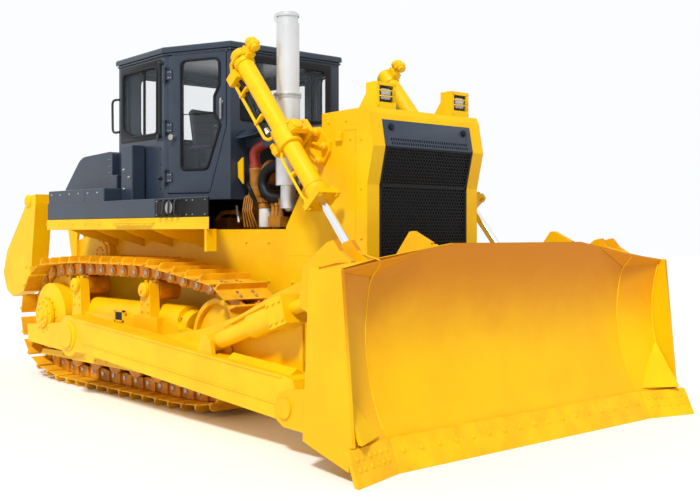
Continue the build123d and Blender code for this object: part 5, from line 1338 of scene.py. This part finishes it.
# %% [markdown]
# ## Boxes and tank
#
# The boxes on the decks and the tank behind the cab are pressed from sheet, so
# their edges are rolled and not sharp. The tank's top runs down to the rear in
# one broad curve. Prisms with a wide bevel give both.

# %% Side boxes and cabinets
BOX_Y, HULL_Y, CABINET_Y = 1.325, 0.6905, 1.130
STEP_LOW, STEP_TOP, BOX_TOP = 1.7905, 1.970, 2.110
boxes = Weldment()
step = [(st(5.860), -BOX_Y), (st(2.655), -BOX_Y), (st(3.595), -HULL_Y), (st(5.860), -HULL_Y)]
boxes.plan_plate(step, STEP_LOW, 1.9745)
boxes.block((st(5.830), -BOX_Y, STEP_TOP), (st(4.985), -HULL_Y, BOX_TOP))
boxes.block((st(4.990), -BOX_Y, STEP_TOP), (st(4.560), -0.966, BOX_TOP))
boxes.block((st(4.556), -CABINET_Y, STEP_TOP), (st(4.330), -0.976, 2.550))
boxes.block((st(4.990), -1.10, 2.105), (st(4.700), -0.966, 2.260))
side_boxes = both_sides(boxes).make("deck_boxes", GREY, "machine", bevel=0.010)
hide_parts("side_boxes")

# %% Tank
tank = Weldment()
tank_side = rounded_loop([(st(4.984), 2.1105), (st(4.984), 2.530), (st(5.700), 2.500),
                          (st(6.085), 2.150), (st(6.085), 2.1105)], (0.004, 0.06, 0.30, 0.04, 0.004))
tank.side_plate([tuple(point) for point in tank_side], -0.995, 0.995)
fuel_tank = tank.make("fuel_tank", GREY, "machine", bevel=0.030, smooth=50)
fuel_tank.modifiers["broken edges"].segments = 4
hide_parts("rear_tank")
lower = Weldment().block((st(6.088), -0.6895, 1.681), (st(4.984), 0.6895, 2.109))
lower.turned((st(5.250), 0.45, 2.505), (st(5.250), 0.45, 2.575),
             [(0, 0.075), (0.3, 0.075), (0.32, 0.090), (0.9, 0.090), (1, 0.070)], 28)
lower_tank = lower.make("tank_base", GREY, "machine", bevel=0.006)
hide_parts("rear_tank")

# %% [markdown]
# ### Step lamp, handgrip and bolts
#
# The front of each deck box is drawn black, darker than the grey box. On it
# sits a work lamp behind four bowed bars. Below, a long handgrip runs along the
# deck's edge.

# %% Step panel, lamp and handgrip
panel, lens, bars, grips, bolts = (Weldment() for _ in range(5))
PANEL_Y, PANEL_LOW, PANEL_TOP = -1.330, 1.797, 1.966
LAMP_X, LAMP_Z = st(3.270), 1.882
BARS_LOW, BARS_TOP = 1.808, 1.955
GRIP_Y, GRIP_Z = -1.366, 1.748
panel.block((st(3.560), PANEL_Y, PANEL_LOW), (st(2.652), PANEL_Y + 0.006, PANEL_TOP))
panel.hull(*[[(st(s), outer, PANEL_LOW), (st(s), outer, PANEL_TOP),
              (st(s), inner, PANEL_TOP), (st(s), inner, PANEL_LOW)]
             for s, outer, inner in ((2.652, PANEL_Y, PANEL_Y + 0.012), (3.580, -0.700, -0.690))])
panel.turned((LAMP_X, -1.326, LAMP_Z), (LAMP_X, -1.352, LAMP_Z),
             [(0, 0.075), (0.8, 0.072), (1, 0.062)], 28)
lens.turned((LAMP_X, -1.350, LAMP_Z), (LAMP_X, -1.362, LAMP_Z),
            [(0, 0.060), (0.6, 0.058), (1, 0.040)], 28)
for s in (3.120, 3.220, 3.320, 3.420):
    bars.pipe([(st(s), -1.328, BARS_TOP), (st(s), -1.385, 1.950), (st(s), -1.390, 1.815),
               (st(s), -1.328, BARS_LOW)], 0.010, 0.03, 10)
for z in (BARS_LOW, BARS_TOP):
    bars.block((st(3.450), -1.334, z - 0.012), (st(3.090), -1.328, z + 0.012))
grips.pipe([(st(4.290), -BOX_Y, GRIP_Z), (st(4.270), GRIP_Y, GRIP_Z),
            (st(3.600), GRIP_Y, GRIP_Z), (st(3.560), -BOX_Y, GRIP_Z)], 0.011, 0.04, 10)

# %% Bolts of panel, cabinet, box and tank
for s in (3.52, 3.00, 2.90, 2.70):
    for z in (1.815, 1.945):
        bolts.bolt((st(s), PANEL_Y, z), (0, -1, 0), 0.007, washer=False)
for s, z in ((4.500, 2.300), (4.395, 2.220), (4.500, 2.100)):
    bolts.bolt((st(s), -CABINET_Y, z), (0, -1, 0), 0.012)
for s in np.linspace(4.70, 5.75, 6):
    bolts.bolt((st(s), -BOX_Y, 2.065), (0, -1, 0), 0.008)
for s in (5.020, 5.060):
    for z in np.linspace(2.16, 2.44, 5):
        bolts.bolt((st(s), -0.995, z), (0, -1, 0), 0.006, washer=False)
for form, name, paint, slot in ((panel, "step_panels", RUBBER, "trim_black"),
                                (lens, "step_lenses", LENS, "window_glass"),
                                (bars, "lamp_bars", TRIM, "trim_black"),
                                (grips, "deck_grips", YELLOW, None),
                                (bolts, "box_bolts", STEEL, "rod_chrome")):
    both_sides(form).make(name, paint, "machine", slot=slot, bevel=0)

# %% [markdown]
# ### Cab trim
#
# Grab rails stand at the cab's rear corners, a drip rail runs under the roof,
# and stops, catches, cover bolts and a small roof lamp finish the walls.

# %% Rails, catches and roof lamp
rail, catch = Weldment(), Weldment()
RAIL_LOW, RAIL_TOP = 2.740, 3.090
rail.pipe([SIDE_WALL.at(0.010, RAIL_LOW, 0.00), SIDE_WALL.at(-0.095, RAIL_LOW - 0.005, 0.03),
           SIDE_WALL.at(-0.105, RAIL_TOP + 0.005, 0.03), SIDE_WALL.at(0.010, RAIL_TOP, 0.00)],
          0.013, 0.06, 12)
catch.block(tuple(SIDE_WALL.at(0.955, 2.575, 0.004) - (0.045, 0.012, 0)),
            tuple(SIDE_WALL.at(0.955, 2.645, 0.030)))
for u, z in ((0.985, 3.360), (0.965, 2.200)):
    catch.turned(SIDE_WALL.at(u, z, 0), SIDE_WALL.at(u, z, 0.045),
                 [(0, 0.022), (0.6, 0.020), (1, 0.014)], 18)
for u, z in ((0.76, 2.52), (0.95, 2.50), (0.76, 2.34), (0.95, 2.34), (0.76, 2.10), (0.95, 2.10)):
    catch.bolt(SIDE_WALL.at(u, z, 0), SIDE_WALL.out, 0.009)
for form in (rail, catch):
    both_sides(form)
rail.turned((st(4.15), -0.70, 3.512), (st(4.15), -0.70, 3.560),
            [(0, 0.045), (0.5, 0.040), (1, 0.018)], 20)
rail.make("cab_rails", TRIM, "machine", bevel=0)
catch.make("door_catches", TRIM, "machine", bevel=0.001)
gutter = Weldment()
corners = [(REAR_X - 0.012, -0.932), (WIDE_X, -0.999), (FRONT_X + 0.012, -0.712),
           (FRONT_X + 0.012, 0.712), (WIDE_X, 0.999), (REAR_X - 0.012, 0.932)]
gutter.ring_pipe([(x, y, 3.436) for x, y in rounded_loop(corners, 0.03)], 0.009, 8)
gutter.make("cab_gutter", GREY, "machine", bevel=0)

# %% [markdown]
# ## Blade hardware
#
# The cutting edge and the end bits wear away, so they are bolted to the blade
# with flat heads that the soil can't catch. A weld bead runs where the curved
# skin meets each end plate, and a second one follows the bend of the wing. The
# blade's colour carries painted shade: it deepens towards the top of the bowl,
# where little light reaches.

# %% Paint of the blade, with painted shade
def build_bowl_shade_group():
    """Painted shade: deeper colour towards the top of faces that look forward."""
    group, entry, leave = effect_group(
        "blade_bowl_painted_shade",
        {"Color": (COLOR, (0.9, 0.5, 0, 1)), "Deep Color": (COLOR, (0.7, 0.2, 0, 1)),
         "Low": (FLOAT, 0.5), "High": (FLOAT, 1.5), "Amount": (FLOAT, 0.8)},
        {"Color": COLOR})
    place = add_node(group, "TexCoord")
    split = add_node(group, "SeparateXYZ", {0: place.outputs["Object"]})
    broken = add_node(group, "Math", {0: add_noise(group, 3.0, 6, 0.6), 1: 0.35,
                                      2: split.outputs["Z"]}, operation="MULTIPLY_ADD")
    height = stretched(group, broken.outputs[0], entry.outputs["Low"], entry.outputs["High"],
                       interpolation_type="SMOOTHSTEP")
    front = stretched(group, world_normal(group, "X"), 0.25, 0.75)
    share = product(group, product(group, height, front), entry.outputs["Amount"])
    mixed = blended(group, share, entry.outputs["Color"], entry.outputs["Deep Color"])
    group.links.new(mixed, leave.inputs["Color"])
    return group


BOWL_SHADE_GROUP = build_bowl_shade_group()
BLADE_PAINT = finish("blade_yellow", (0.90, 0.51, 0.001), (0.85, 0.38, 0.001), shade=0.45, dust_and_top_light=0.04,
                     shade_scale=1.6, rough=0.46, spec=0.2, bump=0.15, edge=0.006)
tree = BLADE_PAINT.node_tree
base_input = tree.nodes["Principled BSDF"].inputs["Base Color"]
origin_z = nodes["blade"].matrix_world.translation.z
# Painted shade: the colour darkens towards the top of the bowl's forward faces.
bowl_shade = set_group(tree, BOWL_SHADE_GROUP, {"Deep Color": (0.62, 0.19, 0.003, 1), "Low": 0.75 - origin_z,
                                "High": 1.62 - origin_z, "Amount": 0.85})
tree.links.new(base_input.links[0].from_socket, bowl_shade.inputs["Color"])
tree.links.new(bowl_shade.outputs["Color"], base_input)
for spot in nodes["blade"].material_slots:
    spot.material = BLADE_PAINT
print("blade paint set, origin height", round(origin_z, 3))

# %% Gussets in the lower corners
BACK = (-1, 0, 0)        # rays start ahead of the blade and run backward
gussets = Weldment()
for side in (-1, 1):
    corners = [landing("blade", (AHEAD_X, side * y, z), BACK)[0]
               for y, z in ((1.640, 0.250), (1.957, 0.250), (1.955, 0.640))]
    if all(corner is not None for corner in corners):
        corners[1] = corners[1] + (0.085, 0, 0)
        gussets.hull([corner - (0.030, 0, 0) for corner in corners],
                     [corner + (0.012, 0, 0) for corner in corners], flip=side < 0)
gussets.make("wing_gussets", YELLOW, "blade", bevel=0.003)

# %% Edge bolts and weld beads
EDGE_BOLT_Z, EDGE_BOLTS = 0.140, 17
BIT_ROWS, BIT_COLUMNS = (0.105, 0.170), (1.630, 1.700, 1.770, 1.840, 1.930, 1.990)
BEND_Y, SKIN_END_Y = 1.560, 1.958
edge_heads, bit_heads, beads = Weldment(), Weldment(), Weldment()
landed = seat_bolts(edge_heads, "cutting_edge",
                    [(AHEAD_X, y, EDGE_BOLT_Z) for y in np.linspace(-1.46, 1.46, EDGE_BOLTS)],
                    BACK, 0.022, dome=True)
for side in (-1, 1):
    for z in BIT_ROWS:
        landed += seat_bolts(bit_heads, "end_bits",
                             [(AHEAD_X, side * offset, z) for offset in BIT_COLUMNS],
                             BACK, 0.019, dome=True)
    for offset, high, radius in ((SKIN_END_Y, 1.36, 0.009), (BEND_Y, 1.50, 0.006)):
        path = [landing("blade", (AHEAD_X, side * offset, z), BACK)[0]
                for z in np.linspace(0.27, high, 26)]
        path = [spot for spot in path if spot is not None]
        beads.pipe(path, radius, 0.02, 8)
edge_heads.make("edge_bolts", EDGE_PAINT, "blade", slot="edge_steel", bevel=0)
bit_heads.make("bit_bolts", EDGE_PAINT, "blade", slot="edge_steel", bevel=0)
beads.make("blade_welds", YELLOW, "blade", bevel=0)
print("blade heads landed:", landed)

# %% [markdown]
# ### Push arms and tilt cylinder
#
# Each arm is a box welded from four plates, so its upper plate stands out as a
# lip. A locked cap closes each pin, and bolts hold the cylinder's gland. Two
# oil pipes run along the top of the tilt cylinder.

# %% Arm lips and pin caps
arm_form, arm_bolts = Weldment(), Weldment()
ARM_FACE, ARM_SPAN = 1.750, (4.200, 1.060)
ARM_REAR, ARM_FRONT = (4.240, 0.795), (1.020, 0.580)  # station and height of the upper edge
PIN_X, PIN_Z = st(0.932), 0.350
TRUNNION_X, TRUNNION_Z = st(4.500), 0.620


def arm_top(s):
    """Height of the arm's upper edge at a station."""
    share = (s - ARM_FRONT[0]) / (ARM_REAR[0] - ARM_FRONT[0])
    return ARM_FRONT[1] + (ARM_REAR[1] - ARM_FRONT[1]) * share


for drop, thick in ((0.004, 0.018), (0.215, 0.014)):
    outline = [(st(s), arm_top(s) - drop) for s in ARM_SPAN]
    outline += [(st(s), arm_top(s) - drop - thick) for s in reversed(ARM_SPAN)]
    arm_form.side_plate(outline, -ARM_FACE - 0.008, -ARM_FACE + 0.004)
arm_form.turned((PIN_X, -ARM_FACE + 0.002, PIN_Z), (PIN_X, -ARM_FACE - 0.028, PIN_Z),
                [(0, 0.074), (0.7, 0.070), (1, 0.054)], 28)
arm_form.block((PIN_X - 0.10, -ARM_FACE - 0.018, PIN_Z - 0.025),
               (PIN_X + 0.10, -ARM_FACE + 0.002, PIN_Z + 0.025))
for dx in (-0.088, 0.088):
    arm_bolts.bolt((PIN_X + dx, -ARM_FACE - 0.018, PIN_Z), (0, -1, 0), 0.013)
arm_form.turned((TRUNNION_X, -ARM_FACE + 0.002, TRUNNION_Z),
                (TRUNNION_X, -ARM_FACE - 0.020, TRUNNION_Z),
                [(0, 0.150), (0.6, 0.147), (1, 0.132)], 36)
for spot in ring_spots(TRUNNION_X, TRUNNION_Z, -ARM_FACE - 0.020, 0.105, 4, math.radians(45)):
    arm_bolts.bolt(spot, (0, -1, 0), 0.014)
both_sides(arm_form).make("arm_lips", YELLOW, "blade", bevel=0.003)
both_sides(arm_bolts).make("arm_bolts", YELLOW, "blade", bevel=0)

# %% Gland bolts and pipes of the tilt cylinder
gland = Weldment()
rear_eye, front_eye = np.array((st(2.100), 0.735)), np.array((st(0.800), 1.160))
run = (front_eye - rear_eye) / np.linalg.norm(front_eye - rear_eye)
rise = np.array((-run[1], run[0]))
for side, node in ((-1, "tilt_cylinder"), (1, "tilt_brace")):
    spots = []
    for along in (0.925, 1.000, 1.075):
        for above in (-0.072, 0.072):
            x, z = rear_eye + run * along + rise * above
            spots.append((x, side * OUTSIDE_Y, z))
    seat_bolts(gland, node, spots, (0, -side, 0), 0.015)
    for eye in (rear_eye, front_eye):
        seat_bolts(gland, node, [(eye[0], side * OUTSIDE_Y, eye[1])], (0, -side, 0), 0.034,
                   dome=True)
    if side < 0:
        radius = 0.014
        for shift in (0.040, -0.040):
            low = rear_eye + run * 0.22 + rise * (0.095 + shift * 0.2)
            high = rear_eye + run * 0.90 + rise * (0.125 + shift * 0.2)
            gland.pipe([(low[0], side * 1.630 + shift, low[1]),
                        (high[0], side * 1.630 + shift, high[1])], radius, sides=12)
gland.make("tilt_gland_bolts", YELLOW, "blade", bevel=0)

# %% [markdown]
# ## Undercarriage hardware
#
# Ring after ring of bolts closes the final drive, the idler and the guards. The
# rings share one helper, and each bolt seats itself on the cast surface.

# %% Final drives, idlers and carrier rollers
drive, guard = Weldment(), Weldment()
DRIVE, IDLER = (st(5.912), 0.712), (st(2.740), 0.652)
CARRIERS, CARRIER_Z = (3.780, 5.200), 1.088
count = 0
for side in (-1, 1):
    out = side * OUTSIDE_Y
    for radius, number, size in ((0.205, 14, 0.013), (0.098, 8, 0.012)):
        count += seat_bolts(drive, "drive_sprockets", ring_spots(*DRIVE, out, radius, number),
                            (0, -side, 0), size)
    count += seat_bolts(drive, "drive_sprockets", [(DRIVE[0], out, DRIVE[1])], (0, -side, 0), 0.045,
                        dome=True)
    count += seat_bolts(guard, "track_frames", ring_spots(*DRIVE, out, 0.166, 10, 0.3),
                        (0, -side, 0), 0.014)
    count += seat_bolts(drive, "idlers", ring_spots(*IDLER, out, 0.110, 8), (0, -side, 0), 0.013)
    for s in np.arange(2.95, 5.60, 0.24):
        count += seat_bolts(guard, "track_frames", [(st(s), out, 0.300)], (0, -side, 0), 0.014)
    for s in CARRIERS:
        count += seat_bolts(guard, "track_frames",
                            [(st(s) - 0.055, out, 0.960), (st(s) + 0.055, out, 0.960),
                             (st(s) - 0.055, out, 0.880), (st(s) + 0.055, out, 0.880)],
                            (0, -side, 0), 0.013)
        y0 = side * (TRACK_Y + 0.235)
        guard.turned((st(s), y0, CARRIER_Z), (st(s), y0 + side * 0.044, CARRIER_Z),
                     [(0, 0.078), (0.7, 0.074), (1, 0.056)], 24)
        guard.bolt((st(s), y0 + side * 0.044, CARRIER_Z), (0, side, 0), 0.020)
        for dx in (-0.045, 0.045):
            guard.bar((st(s) + dx, y0 - side * 0.040, 1.150),
                      (st(s) + dx, y0 - side * 0.040, 1.182), 0.017, 6)
        guard.block((st(s) - 0.070, y0 - side * 0.080, 1.120),
                    (st(s) + 0.070, y0 + side * 0.006, 1.158))
drive.make("drive_and_idler_bolts", YELLOW, "machine", bevel=0)
guard.make("track_frame_bolts", YELLOW, "machine", bevel=0.001)
print("undercarriage bolts landed:", count)

# %% [markdown]
# ### Spring housing and hull covers
#
# The recoil spring sits in a tube with a hand hole on its outer side. The
# hole is a black block that stands proud of the tube: painted shade in place of
# the hole's depth. Rings and rows of bolts on the hull's flank and along the
# deck's edge show where covers and steps are fixed.

# %% Hand holes as painted shade, bands and covers
cover, dark = Weldment(), Weldment()
height = 0.800           # of the spring tube's middle
for s in (4.360, 3.300):
    place, normal = landing("track_frames", (st(s), -OUTSIDE_Y, height), (0, 1, 0))
    if place is not None:
        y = float(place[1])
        # A black block stands for the open hole: painted shade.
        dark.block((st(s) - 0.070, y - 0.004, height - 0.040),
                   (st(s) + 0.070, y + 0.020, height + 0.040))
        for low, high in (((-0.090, -0.058), (0.090, -0.040)), ((-0.090, 0.040), (0.090, 0.058)),
                          ((-0.090, -0.058), (-0.070, 0.058)), ((0.070, -0.058), (0.090, 0.058))):
            cover.block((st(s) + low[0], y - 0.010, height + low[1]),
                        (st(s) + high[0], y + 0.020, height + high[1]))
for radius in (0.165, 0.080):
    seat_bolts(cover, "main_frame", ring_spots(st(5.640), 1.400, -OUTSIDE_Y, radius, 10),
               (0, 1, 0), 0.013)
for s in (1.90, 2.25, 2.60, 2.95):
    for z in (1.20, 1.56):
        seat_bolts(cover, "main_frame", [(st(s), -OUTSIDE_Y, z)], (0, 1, 0), 0.013)
for s in np.linspace(3.75, 5.85, 8):
    seat_bolts(cover, "decks", [(st(s), -OUTSIDE_Y, 1.735)], (0, 1, 0), 0.010)
both_sides(cover).make("frame_covers", YELLOW, "machine", bevel=0.001)
both_sides(dark).make("spring_hand_hole_shades", RUBBER, "machine", slot="trim_black", bevel=0)

# %% [markdown]
# ## Ripper hardware
#
# The ripper hangs on two parallel pairs of pins. Each pin gets a cap with three
# small bolts, and two larger ones above it.

# %% Pin caps and bolts
caps = {"machine": Weldment(), "ripper_beam": Weldment()}
PINS_BY_BODY = (("machine", "ripper_mount", 6.510, 1.020),
                ("machine", "ripper_mount", 6.510, 1.950),
                ("ripper_beam", "ripper_beam", 7.150, 1.110),
                ("ripper_beam", "ripper_beam", 7.150, 2.040))
for body, node, s, z in PINS_BY_BODY:
    for side in (-1, 1):
        found = landing(node, (st(s), side * OUTSIDE_Y, z), (0, -side, 0))[0]
        if found is None:
            continue
        y = abs(float(found[1]))
        caps[body].turned((st(s), side * (y - 0.004), z), (st(s), side * (y + 0.026), z),
                          [(0, 0.082), (0.6, 0.078), (1, 0.060)], 28)
        spots = [(st(s) + dx, side * OUTSIDE_Y, z + 0.115) for dx in (0.055, -0.055)]
        seat_bolts(caps[body], node, spots, (0, -side, 0), 0.015)
        for spot in ring_spots(st(s), z, side * (y + 0.024), 0.035, 3, math.radians(90)):
            caps[body].bolt(spot, (0, side, 0), 0.010, washer=False)
for body, form in caps.items():
    form.make(f"ripper_caps_{body}", YELLOW, body, bevel=0.002)

# %% [markdown]
# ## Operator's seat
#
# The seat shows through the door's window: a cushion and a tall back of black
# leather on a sprung pedestal, with two padded arm rests. Each pad starts as a
# smaller closed form on an even grid. Its middle is then crowned by the
# stuffing and its sides pull in between the corners. A cloth solver could blow
# the pads up instead, but it takes minutes to run. The sewn channels are
# pressed in last.

# %% Stuffed pads
SEAT_X, SEAT_FLOOR = st(4.300), 2.035
VOXEL = 0.012
PULL_IN = 0.035


def bake_modifiers(piece):
    """Make the shape that the modifiers give the piece's own mesh."""
    shape = piece.evaluated_get(bpy.context.evaluated_depsgraph_get())
    mesh = bpy.data.meshes.new_from_object(shape)
    piece.modifiers.clear()
    piece.data = mesh
    return np.array([vertex.co for vertex in mesh.vertices])


def stuffed(name, form, swell, grooves, heading):
    """Leather pad: an even grid crowned along its thin axis, pulled in at its sides, then sewn."""
    mesh = bpy.data.meshes.new(name)
    mesh.from_pydata(np.vstack(form.points).tolist(), [], form.faces)
    piece = bpy.data.objects.new(name, mesh)
    bpy.context.scene.collection.objects.link(piece)
    soften = piece.modifiers.new("round", "BEVEL")
    soften.width, soften.segments = 0.018, 3
    grid = piece.modifiers.new("grid", "REMESH")
    grid.mode, grid.voxel_size = "VOXEL", VOXEL
    points = bake_modifiers(piece)
    thin = unit(heading)
    wide = np.array((0, 1.0, 0))
    axes = np.array([np.cross(wide, thin), wide, thin])
    middle = np.vstack(form.points).mean(axis=0)
    place = (points - middle) @ axes.T
    half = np.abs(place).max(axis=0)
    share = np.clip(np.abs(place / half), 0, 1)
    open_u, open_v = 1 - share[:, 0] ** 2, 1 - share[:, 1] ** 2
    place[:, 0] *= 1 - PULL_IN * open_v
    place[:, 1] *= 1 - PULL_IN * open_u
    place[:, 2] += np.sign(place[:, 2]) * share[:, 2] * swell * np.sqrt(open_u * open_v)
    piece.data.vertices.foreach_set("co", (place @ axes + middle).ravel())
    piece.data.update()
    finer = piece.modifiers.new("finer", "SUBSURF")
    finer.levels = 1
    points = bake_modifiers(piece)
    normals = np.array([vertex.normal for vertex in piece.data.vertices])
    facing = np.clip(normals @ thin, 0, 1)
    for spot, along in grooves:
        away = (points - spot) @ unit(along)
        points -= normals * (0.010 * facing * np.exp(-(away / 0.010) ** 2))[:, None]
    piece.data.vertices.foreach_set("co", points.ravel())
    piece.data.update()
    piece.data.materials.clear()
    piece.data.materials.append(SEAT)
    piece.data.shade_smooth()
    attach(piece, "machine")
    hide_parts("operator_seat")
    print(f"{name}: crowned by {swell:.3f} m, {len(piece.data.polygons)} faces")
    return piece


base = Weldment().block((SEAT_X - 0.218, -0.238, SEAT_FLOOR + 0.272),
                        (SEAT_X + 0.248, 0.238, SEAT_FLOOR + 0.368))
stuffed("seat_cushion", base, 0.014,
        [(np.array((SEAT_X + dx, 0, 0)), (1, 0, 0)) for dx in (-0.07, 0.09)], (0, 0, 1))
lean = unit((-0.14, 0, 0.63))
front = unit((0.63, 0, 0.14))
rest_edge = ((-0.165, 0.385), (-0.298, 0.985), (-0.372, 0.975), (-0.245, 0.385))
rest = Weldment().side_plate([(SEAT_X + dx, SEAT_FLOOR + dz) for dx, dz in rest_edge], -0.226, 0.226)
foot = np.array((SEAT_X - 0.165, 0, SEAT_FLOOR + 0.385))
stuffed("seat_back", rest, 0.014, [(foot + lean * rise, lean) for rise in (0.17, 0.33, 0.47)],
        front)
for side, name in ((-1, "right"), (1, "left")):
    pad = Weldment().block((SEAT_X - 0.212, side * 0.290 - 0.032, SEAT_FLOOR + 0.508),
                           (SEAT_X + 0.192, side * 0.290 + 0.032, SEAT_FLOOR + 0.552))
    stuffed(f"arm_pad_{name}", pad, 0.006, [(np.array((SEAT_X, 0, 0)), (1, 0, 0))], (0, 0, 1))

# %% [markdown]
# ### Pedestal and seat frame
#
# A rubber bellows hides the spring of the pedestal. A pressed pan carries the
# cushion, a shell closes the back, and a bracket holds each arm rest.

# %% Bellows, pan, shell and brackets
bellows, shell = Weldment(), Weldment()
sections = []
for index in range(13):
    reach = 0.185 if index % 2 == 0 else 0.160
    z = SEAT_FLOOR + 0.002 + index * 0.0205
    square = [(-reach, -reach), (reach, -reach), (reach, reach), (-reach, reach)]
    sections.append([(SEAT_X - 0.01 + u, v, z) for u, v in rounded_loop(square, 0.03)])
bellows.loft(sections)
shell.block((SEAT_X - 0.225, -0.235, SEAT_FLOOR + 0.245),
            (SEAT_X + 0.235, 0.235, SEAT_FLOOR + 0.272))
shell_edge = ((-0.225, 0.250), (-0.245, 0.385), (-0.368, 0.960), (-0.388, 0.955), (-0.262, 0.385),
              (-0.245, 0.250))
shell.side_plate([(SEAT_X + dx, SEAT_FLOOR + dz) for dx, dz in shell_edge], -0.215, 0.215)
for side in (-1, 1):
    for inner, low, top in ((0.262, 0.300, 0.512), (0.215, 0.248, 0.310)):
        shell.block((SEAT_X - 0.118, side * inner, SEAT_FLOOR + low),
                    (SEAT_X - 0.062, side * 0.318, SEAT_FLOOR + top))
bellows_piece = bellows.make("seat_bellows", RUBBER, "machine", bevel=0)
shell_piece = shell.make("seat_shell", TRIM, "machine", bevel=0.004)
for piece in (bellows_piece, shell_piece):
    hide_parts("operator_seat")
